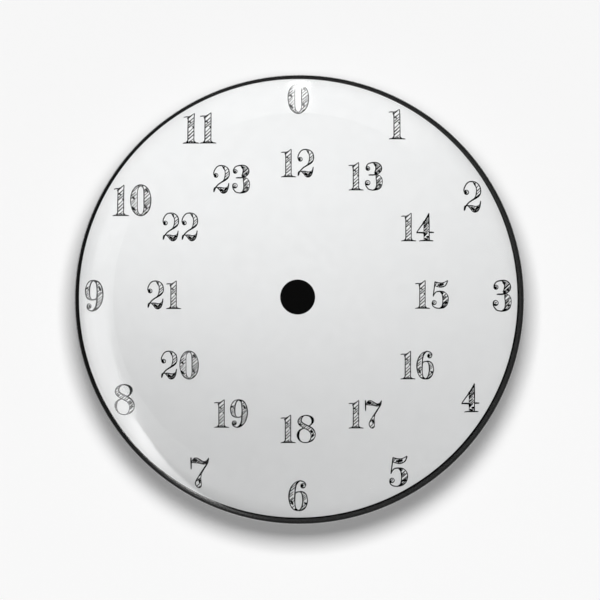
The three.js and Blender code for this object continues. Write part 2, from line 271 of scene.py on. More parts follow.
def build_press():
    tree, given, result = shape_tree(
        "press_sheet",
        steps_round="Int",
        pleats="Int",
        pleat_depth="Float",
        seed="Float",
        outside_finish="Material",
        inside_finish="Material",
    )
    section = given["Geometry"]
    count = add_node(tree, "GeometryNodeAttributeDomainSize", {0: section}).outputs["Point Count"]
    columns = sum_of(tree, "ADD", given["Steps round"], 1.0)
    grid = add_node(tree, "GeometryNodeMeshGrid", {"Vertices X": columns, "Vertices Y": count})
    index = add_node(tree, "GeometryNodeInputIndex").outputs[0]
    column = sum_of(tree, "FLOOR", sum_of(tree, "DIVIDE", sum_of(tree, "ADD", index, 0.5), count))
    row = sum_of(tree, "SUBTRACT", index, sum_of(tree, "MULTIPLY", column, count))
    turn = sum_of(tree, "DIVIDE", sum_of(tree, "MULTIPLY", column, math.tau), given["Steps round"])

    def from_section(value, kind):
        picked = add_node(tree, "GeometryNodeSampleIndex", data_type=kind, domain="POINT")
        tree.links.new(section, picked.inputs["Geometry"])
        tree.links.new(value, picked.inputs["Value"])
        tree.links.new(row, picked.inputs["Index"])
        return picked.outputs[0]

    place = from_section(add_node(tree, "GeometryNodeInputPosition").outputs[0], "FLOAT_VECTOR")
    outward = from_section(read_attribute(tree, "outward", "FLOAT_VECTOR"), "FLOAT_VECTOR")
    gathered = from_section(read_attribute(tree, "gathered", "FLOAT"), "FLOAT")
    flat = from_section(read_attribute(tree, "flat", "FLOAT"), "FLOAT")
    outside = from_section(read_attribute(tree, "outside", "FLOAT"), "FLOAT")

    sine = sum_of(tree, "SINE", turn)
    cosine = sum_of(tree, "COSINE", turn)
    ring = add_node(tree, "ShaderNodeCombineXYZ", {0: sine, 1: cosine}).outputs[0]
    wander = add_node(
        tree,
        "ShaderNodeTexNoise",
        {"Vector": ring, "W": given["Seed"], "Scale": 7.0, "Detail": 2.0},
        noise_dimensions="4D",
    ).outputs[0]
    strength = add_node(
        tree,
        "ShaderNodeTexNoise",
        {"Vector": ring, "W": given["Seed"], "Scale": 19.0, "Detail": 1.0},
        noise_dimensions="4D",
    ).outputs[0]
    phase = sum_of(
        tree,
        "ADD",
        sum_of(tree, "MULTIPLY", turn, given["Pleats"]),
        sum_of(tree, "MULTIPLY", wander, PLEAT_WANDER),
    )
    wave = sum_of(tree, "ABSOLUTE", sum_of(tree, "SINE", phase))
    fold = sum_of(tree, "POWER", wave, PLEAT_SHARPNESS)
    depth = sum_of(tree, "MULTIPLY", given["Pleat depth"], sum_of(tree, "MULTIPLY", fold, strength))
    push = sum_of(tree, "MULTIPLY", sum_of(tree, "MULTIPLY", depth, gathered), -1.0)
    shift = add_node(tree, "ShaderNodeVectorMath", {0: outward, "Scale": push}, operation="SCALE")
    moved = add_node(tree, "ShaderNodeVectorMath", {0: place, 1: shift.outputs[0]})
    parts = add_node(tree, "ShaderNodeSeparateXYZ", {0: moved.outputs[0]}).outputs
    spot = add_node(
        tree,
        "ShaderNodeCombineXYZ",
        {
            0: sum_of(tree, "MULTIPLY", parts[0], sine),
            1: parts[1],
            2: sum_of(tree, "MULTIPLY", parts[0], cosine),
        },
    ).outputs[0]
    share = sum_of(tree, "DIVIDE", flat, FLAT_SPAN)
    unrolled = add_node(
        tree,
        "ShaderNodeCombineXYZ",
        {
            0: sum_of(tree, "ADD", sum_of(tree, "MULTIPLY", share, sine), 0.5),
            1: sum_of(tree, "ADD", sum_of(tree, "MULTIPLY", share, cosine), 0.5),
        },
    ).outputs[0]

    by_point = add_node(
        tree, "GeometryNodeFieldOnDomain", data_type="FLOAT_VECTOR", domain="POINT"
    )
    tree.links.new(unrolled, by_point.inputs[0])
    marked = add_node(
        tree,
        "GeometryNodeStoreNamedAttribute",
        {"Geometry": grid.outputs["Mesh"], "Name": "outside", "Value": outside},
        data_type="FLOAT",
        domain="POINT",
    )
    mapped = add_node(
        tree,
        "GeometryNodeStoreNamedAttribute",
        {"Geometry": marked.outputs[0], "Name": "unrolled", "Value": by_point.outputs[0]},
        data_type="FLOAT2",
        domain="CORNER",
    )
    turned = add_node(tree, "GeometryNodeSetPosition", {0: mapped.outputs[0], "Position": spot})
    closed = add_node(tree, "GeometryNodeMergeByDistance", {0: turned.outputs[0], "Distance": 1e-7})
    bend = add_node(tree, "GeometryNodeInputMeshEdgeAngle").outputs[0]
    sharp = sum_of(tree, "GREATER_THAN", bend, SHARP_BEND)
    smooth = add_node(tree, "GeometryNodeSetShadeSmooth", {0: closed.outputs[0]}, domain="FACE")
    edged = add_node(
        tree,
        "GeometryNodeSetShadeSmooth",
        {0: smooth.outputs[0], "Selection": sharp, "Shade Smooth": False},
        domain="EDGE",
    )
    real = add_node(tree, "GeometryNodeRealizeInstances", {0: edged.outputs[0]})
    inner = add_node(
        tree,
        "GeometryNodeSetMaterial",
        {0: real.outputs[0], "Material": given["Inside finish"]},
    )
    is_outside = sum_of(tree, "GREATER_THAN", read_attribute(tree, "outside", "FLOAT"), 0.75)
    outer = add_node(
        tree,
        "GeometryNodeSetMaterial",
        {0: inner.outputs[0], "Selection": is_outside, "Material": given["Outside finish"]},
    )
    tree.links.new(outer.outputs[0], result[0])
    return tree


press = build_press()
print(f"press tree: {len(press.nodes)} nodes")

# %% [markdown]
# A section is a bare line of points that carries what the tree asks for. The sheet's outer line
# comes first and its inner line goes back to the middle, which closes the sheet. Every section
# is turned with the same number of pleats and the same seed, and on a smooth piece they are of no
# depth.

# %% Sections for the press
PLEATS = 74
PLEAT_SEED = 11.0


def section_of(name, points, flats, outsides):
    """A line of points in metres, with the attributes that the press reads."""
    section = place_mesh(
        name + "_section",
        [(r * MM, -h * MM, 0) for r, h, _, _ in points],
        [(i, i + 1) for i in range(len(points) - 1)],
    )
    outward = [(out[0], -out[1], 0) for _, _, out, _ in points]
    give_attribute(section, "outward", outward, "FLOAT_VECTOR")
    give_attribute(section, "gathered", [gathered for _, _, _, gathered in points])
    give_attribute(section, "flat", [flat * MM for flat in flats])
    give_attribute(section, "outside", outsides)
    return section


def sheet_section(name, outside, inside, fine=1.0):
    """The closed section of one wrapped sheet between two depths."""
    outer, inner = pressed_line(outside, fine), pressed_line(inside, fine)
    flats = flat_distances(outer)
    points = outer + inner[::-1]
    return section_of(name, points, flats + flats[::-1], [1.0] * len(outer) + [0.0] * len(inner))


def press_round(section, name, steps, finishes, pleat_depth=0.0):
    """A section turned by the press into a piece; finishes are its outside's and its inside's."""
    return grow(
        section,
        press,
        name,
        steps_round=steps,
        pleats=PLEATS,
        pleat_depth=pleat_depth * MM,
        seed=PLEAT_SEED,
        outside_finish=finishes[0],
        inside_finish=finishes[1],
    )


# %% [markdown]
# ## Finishes
#
# A finish is a node material. Most of them start from the same two things: the place on the
# piece in metres, stretched if the grain runs one way, and a noise read there. A bump is given
# in metres of real height, so a grain of a few thousandths of a millimetre stays that fine.

# %% Helpers for finishes
def new_finish(name):
    """An empty node material, and the socket of its surface."""
    finish = bpy.data.materials.new(name)
    finish.use_nodes = True
    finish.node_tree.nodes.clear()
    output = finish.node_tree.nodes.new("ShaderNodeOutputMaterial")
    return finish, finish.node_tree, output.inputs["Surface"]


def grain(tree, stretch, detail=3.0, distortion=0.0):
    """Noise on the piece's own coordinates; stretch is its fineness along X, Y and Z, per metre."""
    spot = add_node(tree, "ShaderNodeTexCoord").outputs["Object"]
    laid = add_node(tree, "ShaderNodeMapping", {"Vector": spot, "Scale": stretch}).outputs[0]
    feeds = {"Vector": laid, "Scale": 1.0, "Detail": detail, "Distortion": distortion}
    return add_node(tree, "ShaderNodeTexNoise", feeds).outputs[0]


def between(tree, value, low, high, from_low=0.3, from_high=0.7):
    """A value spread over the range low to high."""
    feeds = {0: value, 1: from_low, 2: from_high, 3: low, 4: high}
    return add_node(tree, "ShaderNodeMapRange", feeds).outputs[0]


def blend_colour(tree, value, first, second):
    """A colour between two others."""
    mixed = add_node(tree, "ShaderNodeMix", data_type="RGBA")
    tree.links.new(value, mixed.inputs[0])
    mixed.inputs[6].default_value = (*first, 1)
    mixed.inputs[7].default_value = (*second, 1)
    return mixed.outputs[2]


def bump(tree, value, height):
    """A normal that follows a value, whose full swing stands this many metres high."""
    feeds = {"Height": value, "Distance": height, "Strength": 1.0}
    return add_node(tree, "ShaderNodeBump", feeds).outputs[0]


def end_finish(tree, surface, shader):
    """Links a shader node to the surface of its finish."""
    tree.links.new(shader.outputs[0], surface)


# %% [markdown]
# ### Clear film
#
# The film is a clear gloss polyester. It shows as its reflections: faint where it is looked at
# straight on, strong at a grazing angle. A Fresnel mix of a transparent and a glossy shader does
# that and lets the lamps through to the print. Only the outside shines, so the inside of the
# sheet is plain clear. A little waviness keeps the highlights from being ruler-straight.

# %% Clear film
film_outside, tree, surface = new_finish("clear_gloss_film")
ripple = grain(tree, (160, 160, 160), detail=2.0)
normal = bump(tree, ripple, 1.5e-6)
smear = between(tree, grain(tree, (300, 300, 300)), 0.045, 0.075)
shine = add_node(tree, "ShaderNodeBsdfGlossy", {"Roughness": smear, "Normal": normal})
clear = add_node(tree, "ShaderNodeBsdfTransparent")
fresnel = add_node(tree, "ShaderNodeFresnel", {"IOR": 1.5}).outputs[0]
inward = add_node(tree, "ShaderNodeNewGeometry").outputs["Backfacing"]
share = sum_of(tree, "MULTIPLY", fresnel, sum_of(tree, "SUBTRACT", 1.0, inward))
film = add_node(tree, "ShaderNodeMixShader", {0: share, 1: clear.outputs[0], 2: shine.outputs[0]})
end_finish(tree, surface, film)

film_inside, tree, surface = new_finish("clear_film_inside")
tint = blend_colour(tree, grain(tree, (250, 250, 250)), (0.985, 0.988, 0.99), (0.995, 0.995, 0.995))
end_finish(tree, surface, add_node(tree, "ShaderNodeBsdfTransparent", {"Color": tint}))

# %% [markdown]
# ### Paper and ink
#
# The dial is printed on bright white uncoated paper. Its tone is never quite even: the fibres
# cloud it over a millimetre or so, and a fine tooth catches the light. The ink is a matt black
# that lets a trace of that tooth through.

# %% Paper and ink
PAPER_LIGHT = (0.845, 0.85, 0.85)
PAPER_DARK = (0.815, 0.82, 0.82)
INK_DARK = (0.0003, 0.0003, 0.0003)
INK_LIGHT = (0.001, 0.001, 0.001)
TOOTH = (9000, 9000, 9000)
paper_finish, tree, surface = new_finish("white_paper")
clouds = grain(tree, (700, 700, 700), detail=6.0, distortion=0.4)
tooth = grain(tree, TOOTH, detail=2.0)
shade = blend_colour(tree, between(tree, clouds, 0.0, 1.0), PAPER_DARK, PAPER_LIGHT)
matt = between(tree, tooth, 0.72, 0.88)
feeds = {
    "Base Color": shade,
    "Roughness": matt,
    "Normal": bump(tree, tooth, 3e-6),
    "Specular IOR Level": 0.25,
}
end_finish(tree, surface, add_node(tree, "ShaderNodeBsdfPrincipled", feeds))

ink_finish, tree, surface = new_finish("black_ink")
tooth = grain(tree, TOOTH, detail=2.0)
feeds = {
    "Base Color": blend_colour(tree, between(tree, tooth, 0.0, 1.0), INK_DARK, INK_LIGHT),
    "Roughness": between(tree, tooth, 0.55, 0.7),
    "Specular IOR Level": 0.005,
}
end_finish(tree, surface, add_node(tree, "ShaderNodeBsdfPrincipled", feeds))

# %% [markdown]
# ### Tinplate
#
# Shell and back plate are tinned steel strip. Rolling leaves fine lines along the strip, here
# along X, and the tin is a little duller in soft patches where it was handled.

# %% Tinplate
TIN_DULL = (0.62, 0.63, 0.65)
TIN_BRIGHT = (0.74, 0.75, 0.77)
tin_finish, tree, surface = new_finish("bright_tinplate")
lines = grain(tree, (260, 9000, 9000), detail=4.0)
patches = grain(tree, (110, 110, 110), detail=3.0, distortion=0.6)
gloss = sum_of(tree, "ADD", between(tree, lines, -0.05, 0.06), between(tree, patches, 0.24, 0.36))
feeds = {
    "Base Color": blend_colour(tree, between(tree, patches, 0.0, 1.0), TIN_DULL, TIN_BRIGHT),
    "Metallic": 1.0,
    "Roughness": gloss,
    "Normal": bump(tree, lines, 2.5e-6),
}
end_finish(tree, surface, add_node(tree, "ShaderNodeBsdfPrincipled", feeds))

# %% [markdown]
# ### Nickel plate
#
# The pin's pieces are nickel-plated steel: brighter and warmer than the tinplate, with fine
# polishing scratches and cloudy finger marks that change how sharply it reflects.

# %% Nickel plate
NICKEL_DULL = (0.6, 0.585, 0.55)
NICKEL_BRIGHT = (0.73, 0.715, 0.68)
nickel_finish, tree, surface = new_finish("nickel_plate")
scratches = grain(tree, (900, 16000, 16000), detail=3.0, distortion=0.3)
marks = grain(tree, (420, 420, 420), detail=4.0, distortion=0.8)
gloss = sum_of(tree, "ADD", between(tree, scratches, -0.03, 0.04), between(tree, marks, 0.13, 0.25))
feeds = {
    "Base Color": blend_colour(tree, between(tree, marks, 0.0, 1.0), NICKEL_DULL, NICKEL_BRIGHT),
    "Metallic": 1.0,
    "Roughness": gloss,
    "Normal": bump(tree, scratches, 1.2e-6),
}
end_finish(tree, surface, add_node(tree, "ShaderNodeBsdfPrincipled", feeds))

# %% [markdown]
# ### Foam tape
#
# White polyethylene foam: closed cells a few tenths of a millimetre across, cut open at the tape's
# edge, and a soft, dull surface. The pits of the open cells are painted darker, as painted shade in
# them.

# %% Foam tape
FOAM_HOLLOW_SHADE = (0.5, 0.49, 0.46)
FOAM_SKIN = (0.8, 0.79, 0.75)
CELLS_PER_METRE = 3800.0
foam_finish, tree, surface = new_finish("white_foam")
spot = add_node(tree, "ShaderNodeTexCoord").outputs["Object"]
cell_tree = add_node(tree, "ShaderNodeTexVoronoi", {"Vector": spot, "Scale": CELLS_PER_METRE})
cells = cell_tree.outputs["Distance"]
# painted shade: the hollows of the cells get a darker colour where shade would fall in them
shaded_hollows = between(tree, cells, 0.0, 1.0, 0.05, 0.55)
feeds = {
    "Base Color": blend_colour(tree, shaded_hollows, FOAM_HOLLOW_SHADE, FOAM_SKIN),
    "Roughness": between(tree, shaded_hollows, 0.95, 0.85),
    "Normal": bump(tree, cells, 6e-5),
}
end_finish(tree, surface, add_node(tree, "ShaderNodeBsdfPrincipled", feeds))
names = sorted(finish.name for finish in bpy.data.materials if finish.use_nodes)
print("finishes:", ", ".join(names))

# %% [markdown]
# ## Film, paper and shell
#
# The three sheets come out of the press together. They share the pleats' seed, so the pleats of
# one sheet nest in those of the next. The film's inner side stops just short of the paper, which
# leaves room for the ink between them.

# %% Press the sheets
INK_ROOM = 0.02
SHELL_DEPTH = FILM_THICKNESS + PAPER_THICKNESS
SHELL_ROOM = 0.005  # keeps the shell's face just clear of the paper's back
SHEET_STEPS = 540
METAL_STEPS = 360
METAL_FINE = 0.7  # share of the film's points that a bend in metal has
PLEAT_DEPTH = 0.16
SHELL_PLEAT_DEPTH = 0.1

section = sheet_section("film_sheet", 0, FILM_THICKNESS - INK_ROOM)
both_sides = (film_outside, film_inside)
film_piece = press_round(section, "film_sheet", SHEET_STEPS, both_sides, PLEAT_DEPTH)

section = sheet_section("paper_sheet", FILM_THICKNESS, SHELL_DEPTH)
both_sides = (paper_finish, paper_finish)
paper_piece = press_round(section, "paper_sheet", SHEET_STEPS, both_sides, PLEAT_DEPTH)

shell_line = (SHELL_DEPTH + SHELL_ROOM, SHELL_DEPTH + SHELL_THICKNESS)
section = sheet_section("shell_pressing", *shell_line, METAL_FINE)
both_sides = (tin_finish, tin_finish)
shell_piece = press_round(section, "shell_pressing", METAL_STEPS, both_sides, SHELL_PLEAT_DEPTH)

# %% [markdown]
# ## The dial's numbers
#
# The numbers are a printer's fat-face figures drawn with a pen: thin outlines, slanted hatching
# in the heavy strokes and small inked spots where strokes meet. Each figure is described once,
# one unit high. A body is a closed outline that gets hatched, a dark body is hatched closer, a
# hair is a single pen line, a spot is a short thick one and a ball is a round terminal. A figure
# may have a weight of outline and a gap of its own. Points are (x, y) or (x, y, width).

# %% Figures 0 to 4
FIGURES = {
    0: {
        "width": 0.66,
        "outline": 0.027,
        "bodies": [
            [[(0.33, 1.0), (0.5, 0.93), (0.62, 0.75), (0.66, 0.5), (0.62, 0.25), (0.5, 0.07),
              (0.33, 0.0), (0.16, 0.07), (0.04, 0.25), (0.0, 0.5), (0.04, 0.75), (0.16, 0.93),
              (0.33, 1.0)],
             [(0.33, 0.965), (0.395, 0.92), (0.43, 0.8), (0.435, 0.5), (0.43, 0.2), (0.395, 0.08),
              (0.33, 0.035), (0.265, 0.08), (0.225, 0.2), (0.22, 0.5), (0.225, 0.8),
              (0.265, 0.92), (0.33, 0.965)]],
        ],
        "spots": [
            [(0.05, 0.62, 0.03), (0.1, 0.57, 0.06), (0.13, 0.52, 0.03)],
            [(0.06, 0.28, 0.04), (0.11, 0.22, 0.07), (0.17, 0.17, 0.03)],
            [(0.47, 0.86, 0.03), (0.52, 0.82, 0.06), (0.56, 0.75, 0.03)],
            [(0.46, 0.34, 0.03), (0.5, 0.28, 0.06), (0.53, 0.2, 0.03)],
        ],
    },
    1: {
        "width": 0.53,
        "gap": 0.085,
        "outline": 0.027,
        "bodies": [
            [[(0.163, 0.02), (0.163, 0.5), (0.163, 0.885)],
             [(0.163, 0.885), (0.25, 0.925), (0.358, 1.0)],
             [(0.358, 1.0), (0.358, 0.5), (0.358, 0.02)],
             [(0.358, 0.02), (0.163, 0.02)]],
        ],
        "hairs": [
            [(0.0, 0.88, 0.025), (0.08, 0.892, 0.035), (0.163, 0.89, 0.03)],
            [(0.0, 0.0, 0.02), (0.06, 0.014, 0.035), (0.27, 0.016, 0.038), (0.46, 0.013, 0.035),
             (0.53, 0.003, 0.02)],
        ],
        "spots": [
            [(0.13, 0.86, 0.02), (0.15, 0.82, 0.04), (0.16, 0.77, 0.02)],
            [(0.1, 0.03, 0.02), (0.145, 0.055, 0.05), (0.16, 0.11, 0.02)],
            [(0.42, 0.03, 0.02), (0.38, 0.045, 0.04), (0.362, 0.09, 0.02)],
            [(0.2, 0.06, 0.02), (0.25, 0.07, 0.04), (0.3, 0.05, 0.02)],
            [(0.3, 0.56, 0.02), (0.345, 0.525, 0.055), (0.36, 0.49, 0.03)],
            [(0.19, 0.74, 0.02), (0.23, 0.7, 0.045), (0.26, 0.67, 0.02)],
        ],
    },
    2: {
        "width": 0.57,
        "bodies": [
            [[(0.29, 1.0), (0.43, 0.965), (0.54, 0.86), (0.576, 0.7), (0.545, 0.57), (0.46, 0.48),
              (0.35, 0.42)],
             [(0.35, 0.42), (0.4, 0.52), (0.425, 0.64), (0.425, 0.76), (0.39, 0.88),
              (0.29, 1.0)]],
        ],
        "dark_bodies": [
            [[(0.13, 0.205), (0.21, 0.13), (0.29, 0.03), (0.38, 0.0), (0.47, 0.05),
              (0.53, 0.17), (0.56, 0.36)],
             [(0.56, 0.36), (0.525, 0.24), (0.46, 0.195), (0.38, 0.185), (0.27, 0.205),
              (0.13, 0.205)]],
        ],
        "hairs": [
            [(0.015, 0.66, 0.03), (0.03, 0.78, 0.035), (0.11, 0.92, 0.035), (0.2, 0.98, 0.035),
             (0.29, 0.99, 0.04)],
            [(0.42, 0.46, 0.05), (0.31, 0.4, 0.045), (0.18, 0.31, 0.04), (0.08, 0.19, 0.04),
             (0.04, 0.08, 0.045)],
            [(0.03, 0.04, 0.04), (0.03, 0.13, 0.04), (0.045, 0.2, 0.035)],
            [(0.035, 0.18, 0.03), (0.08, 0.205, 0.035), (0.15, 0.205, 0.03)],
        ],
        "spots": [
            [(0.03, 0.68, 0.03), (0.065, 0.645, 0.075), (0.1, 0.6, 0.04)],
            [(0.33, 0.96, 0.03), (0.375, 0.91, 0.06), (0.395, 0.84, 0.03)],
            [(0.25, 0.15, 0.03), (0.3, 0.11, 0.08), (0.35, 0.08, 0.05)],
            [(0.4, 0.1, 0.04), (0.45, 0.14, 0.07), (0.5, 0.17, 0.03)],
        ],
        "balls": [(0.105, 0.64, 0.082)],
    },
    3: {
        "width": 0.62,
        "dark_bodies": [
            [[(0.27, 1.0), (0.42, 0.99), (0.54, 0.92), (0.595, 0.81), (0.57, 0.69), (0.49, 0.61),
              (0.4, 0.575)],
             [(0.4, 0.575), (0.36, 0.64), (0.38, 0.74), (0.385, 0.85), (0.345, 0.945),
              (0.27, 1.0)]],
            [[(0.4, 0.565), (0.5, 0.54), (0.59, 0.45), (0.62, 0.3), (0.58, 0.13), (0.48, 0.04),
              (0.37, 0.01), (0.26, 0.0)],
             [(0.26, 0.0), (0.35, 0.045), (0.4, 0.13), (0.41, 0.3), (0.395, 0.44),
              (0.4, 0.565)]],
        ],
        "hairs": [
            [(0.035, 0.8, 0.03), (0.06, 0.87, 0.035), (0.13, 0.955, 0.035), (0.27, 0.992, 0.04)],
            [(0.13, 0.545, 0.03), (0.2, 0.55, 0.045), (0.3, 0.55, 0.045), (0.4, 0.57, 0.05)],
            [(0.01, 0.24, 0.03), (0.04, 0.15, 0.035), (0.13, 0.04, 0.035), (0.26, 0.008, 0.035)],
        ],
        "spots": [
            [(0.32, 0.97, 0.03), (0.365, 0.92, 0.08), (0.39, 0.86, 0.04)],
            [(0.34, 0.66, 0.03), (0.385, 0.61, 0.09), (0.43, 0.59, 0.06)],
            [(0.47, 0.73, 0.03), (0.51, 0.69, 0.08), (0.53, 0.65, 0.03)],
            [(0.33, 0.02, 0.03), (0.4, 0.05, 0.07), (0.46, 0.07, 0.04)],
            [(0.48, 0.2, 0.02), (0.53, 0.18, 0.06), (0.57, 0.22, 0.03)],
            [(0.07, 0.74, 0.03), (0.1, 0.76, 0.06), (0.13, 0.8, 0.03)],
            [(0.06, 0.22, 0.03), (0.095, 0.21, 0.05), (0.13, 0.23, 0.02)],
        ],
        "balls": [(0.11, 0.78, 0.08), (0.1, 0.27, 0.095)],
    },
    4: {
        "width": 0.64,
        "dark_bodies": [
            [[(0.285, 0.02), (0.28, 0.35), (0.28, 0.67)],
             [(0.28, 0.67), (0.36, 0.82), (0.455, 0.97)],
             [(0.455, 0.97), (0.468, 0.6), (0.468, 0.02)],
             [(0.468, 0.02), (0.285, 0.02)]],
        ],
        "hairs": [
            [(0.455, 1.0, 0.03), (0.44, 0.92, 0.06), (0.3, 0.7, 0.045), (0.14, 0.48, 0.035),
             (0.02, 0.31, 0.03)],
            [(0.01, 0.3, 0.04), (0.15, 0.302, 0.05), (0.28, 0.295, 0.055)],
            [(0.468, 0.31, 0.05), (0.54, 0.315, 0.05), (0.64, 0.31, 0.035)],
            [(0.11, 0.0, 0.02), (0.17, 0.015, 0.035), (0.38, 0.022, 0.045), (0.55, 0.016, 0.04),
             (0.62, 0.008, 0.02)],
        ],
        "spots": [
            [(0.27, 0.72, 0.03), (0.285, 0.67, 0.07), (0.29, 0.62, 0.02)],
            [(0.28, 0.3, 0.03), (0.3, 0.26, 0.08), (0.32, 0.2, 0.03)],
            [(0.36, 0.16, 0.03), (0.42, 0.15, 0.08), (0.46, 0.18, 0.03)],
            [(0.3, 0.1, 0.03), (0.34, 0.08, 0.07), (0.4, 0.05, 0.05)],
            [(0.43, 0.7, 0.02), (0.455, 0.65, 0.05), (0.46, 0.56, 0.02)],
        ],
    },
}
print(f"{len(FIGURES)} figures described")

# %% Figures 5 to 9
FIGURES[5] = {
    "width": 0.61,
    "outline": 0.034,
    "bodies": [
        [[(0.12, 0.96), (0.25, 0.915), (0.42, 0.92), (0.585, 1.0)],
         [(0.585, 1.0), (0.53, 0.86), (0.45, 0.79), (0.3, 0.765), (0.13, 0.81)],
         [(0.13, 0.81), (0.12, 0.96)]],
    ],
    "dark_bodies": [
        [[(0.28, 0.62), (0.44, 0.6), (0.56, 0.5), (0.607, 0.35), (0.56, 0.14), (0.44, 0.03),
          (0.27, 0.0)],
         [(0.27, 0.0), (0.36, 0.06), (0.4, 0.18), (0.408, 0.36), (0.38, 0.52), (0.34, 0.585),
          (0.28, 0.62)]],
    ],
    "hairs": [
        [(0.125, 0.96, 0.03), (0.11, 0.8, 0.035), (0.085, 0.6, 0.035), (0.062, 0.43, 0.03)],
        [(0.062, 0.43, 0.03), (0.11, 0.53, 0.035), (0.19, 0.6, 0.035), (0.29, 0.61, 0.04)],
        [(0.02, 0.2, 0.03), (0.05, 0.1, 0.035), (0.14, 0.03, 0.035), (0.27, 0.008, 0.035)],
    ],
    "spots": [
        [(0.32, 0.59, 0.03), (0.37, 0.56, 0.07), (0.4, 0.5, 0.03)],
        [(0.47, 0.22, 0.03), (0.52, 0.18, 0.07), (0.55, 0.24, 0.03)],
        [(0.34, 0.03, 0.03), (0.4, 0.07, 0.06), (0.43, 0.12, 0.03)],
        [(0.22, 0.84, 0.04), (0.33, 0.84, 0.08), (0.44, 0.87, 0.06)],
    ],
    "balls": [(0.105, 0.215, 0.085)],
}
FIGURES[6] = {
    "width": 0.6,
    "gap": 0.06,
    "outline": 0.035,
    "bodies": [
        [[(0.37, 1.0), (0.2, 0.93), (0.06, 0.75), (0.0, 0.49), (0.04, 0.22), (0.14, 0.06),
          (0.29, 0.0)],
         [(0.29, 0.0), (0.22, 0.09), (0.192, 0.28), (0.192, 0.5), (0.21, 0.75), (0.27, 0.92),
          (0.37, 1.0)]],
        [[(0.3, 0.0), (0.44, 0.03), (0.55, 0.15), (0.6, 0.34), (0.56, 0.53), (0.46, 0.62),
          (0.36, 0.64)],
         [(0.36, 0.64), (0.42, 0.56), (0.446, 0.44), (0.446, 0.28), (0.41, 0.12), (0.36, 0.04),
          (0.3, 0.0)]],
    ],
    "hairs": [
        [(0.37, 0.99, 0.035), (0.46, 0.965, 0.035), (0.53, 0.9, 0.035), (0.54, 0.83, 0.03)],
        [(0.19, 0.56, 0.035), (0.26, 0.62, 0.035), (0.36, 0.632, 0.035)],
    ],
    "spots": [
        [(0.22, 0.84, 0.03), (0.25, 0.9, 0.06), (0.31, 0.95, 0.03)],
        [(0.06, 0.34, 0.03), (0.1, 0.28, 0.07), (0.13, 0.2, 0.03)],
        [(0.49, 0.3, 0.02), (0.53, 0.24, 0.06), (0.56, 0.28, 0.03)],
        [(0.2, 0.08, 0.04), (0.25, 0.04, 0.05), (0.3, 0.02, 0.03)],
        [(0.42, 0.88, 0.02), (0.44, 0.84, 0.06), (0.46, 0.8, 0.03)],
    ],
    "balls": [(0.46, 0.83, 0.085)],
}
FIGURES[7] = {
    "width": 0.61,
    "dark_bodies": [
        [[(0.03, 0.84), (0.1, 0.96), (0.2, 0.99), (0.31, 0.93), (0.42, 0.875), (0.52, 0.9),
          (0.59, 0.99)],
         [(0.59, 0.99), (0.55, 0.84), (0.433, 0.79), (0.3, 0.815), (0.167, 0.83),
          (0.03, 0.84)]],
    ],
    "bodies": [
        [[(0.34, 0.52), (0.25, 0.37), (0.165, 0.22), (0.15, 0.12), (0.2, 0.03), (0.267, 0.0),
          (0.33, 0.05), (0.345, 0.17), (0.33, 0.32), (0.36, 0.52)],
         [(0.36, 0.52), (0.34, 0.52)]],
    ],
    "hairs": [
        [(0.015, 1.0, 0.04), (0.02, 0.82, 0.045), (0.02, 0.62, 0.03)],
        [(0.585, 0.98, 0.03), (0.55, 0.83, 0.04), (0.45, 0.67, 0.045), (0.35, 0.51, 0.05)],
    ],
    "spots": [
        [(0.08, 0.88, 0.04), (0.15, 0.91, 0.09), (0.23, 0.89, 0.06)],
        [(0.26, 0.32, 0.03), (0.29, 0.24, 0.07), (0.28, 0.17, 0.02)],
        [(0.42, 0.83, 0.04), (0.48, 0.85, 0.05), (0.54, 0.88, 0.03)],
    ],
}
FIGURES[8] = {
    "width": 0.65,
    "outline": 0.035,
    "bodies": [
        [[(0.24, 0.975), (0.1, 0.9), (0.035, 0.77), (0.07, 0.65), (0.2, 0.55), (0.36, 0.47),
          (0.46, 0.38), (0.5, 0.25), (0.47, 0.11), (0.39, 0.02)],
         [(0.39, 0.02), (0.54, 0.08), (0.635, 0.21), (0.645, 0.35), (0.575, 0.49), (0.42, 0.6),
          (0.25, 0.68), (0.155, 0.77), (0.165, 0.88), (0.24, 0.975)]],
    ],
    "hairs": [
        [(0.2, 0.96, 0.03), (0.31, 0.985, 0.035), (0.45, 0.955, 0.05), (0.54, 0.87, 0.09),
         (0.555, 0.76, 0.08), (0.5, 0.66, 0.045), (0.41, 0.6, 0.03)],
        [(0.25, 0.53, 0.03), (0.1, 0.45, 0.055), (0.035, 0.3, 0.09), (0.06, 0.15, 0.065),
         (0.16, 0.04, 0.035), (0.31, 0.01, 0.035), (0.43, 0.03, 0.03)],
    ],
    "spots": [
        [(0.46, 0.44, 0.03), (0.52, 0.41, 0.08), (0.56, 0.36, 0.04)],
        [(0.53, 0.2, 0.03), (0.56, 0.26, 0.06), (0.59, 0.33, 0.02)],
        [(0.08, 0.7, 0.03), (0.12, 0.66, 0.05), (0.17, 0.62, 0.03)],
    ],
}


def turned_figure(figure):
    """The same figure turned half round, as a 9 is a 6 turned."""
    wide = figure["width"]
    turned = {"width": wide, "gap": figure["gap"], "outline": figure["outline"]}
    for part in ("bodies", "dark_bodies"):
        turned[part] = [
            [[(wide - x, 1 - y) for x, y in edge] for edge in body] for body in figure.get(part, [])
        ]
    for part in ("hairs", "spots"):
        turned[part] = [[(wide - x, 1 - y, pen) for x, y, pen in line] for line in figure[part]]
    turned["balls"] = [(wide - x, 1 - y, radius) for x, y, radius in figure["balls"]]
    return turned


FIGURES[9] = turned_figure(FIGURES[6])
print("the 9 is the 6 turned half round")

# %% [markdown]
# ### From descriptions to pen lines
#
# Every mark becomes a pen line: points with a half width. Curves run smoothly through the given
# points, and small fixed-seed errors in weight keep them hand-drawn.

# %% Smooth lines with a pen's weight
OUTLINE_PEN = 0.031
PEN_WAVER = 0.12
LIGHTEST, HEAVIEST = 0.75, 1.3  # how far a line's weight may waver


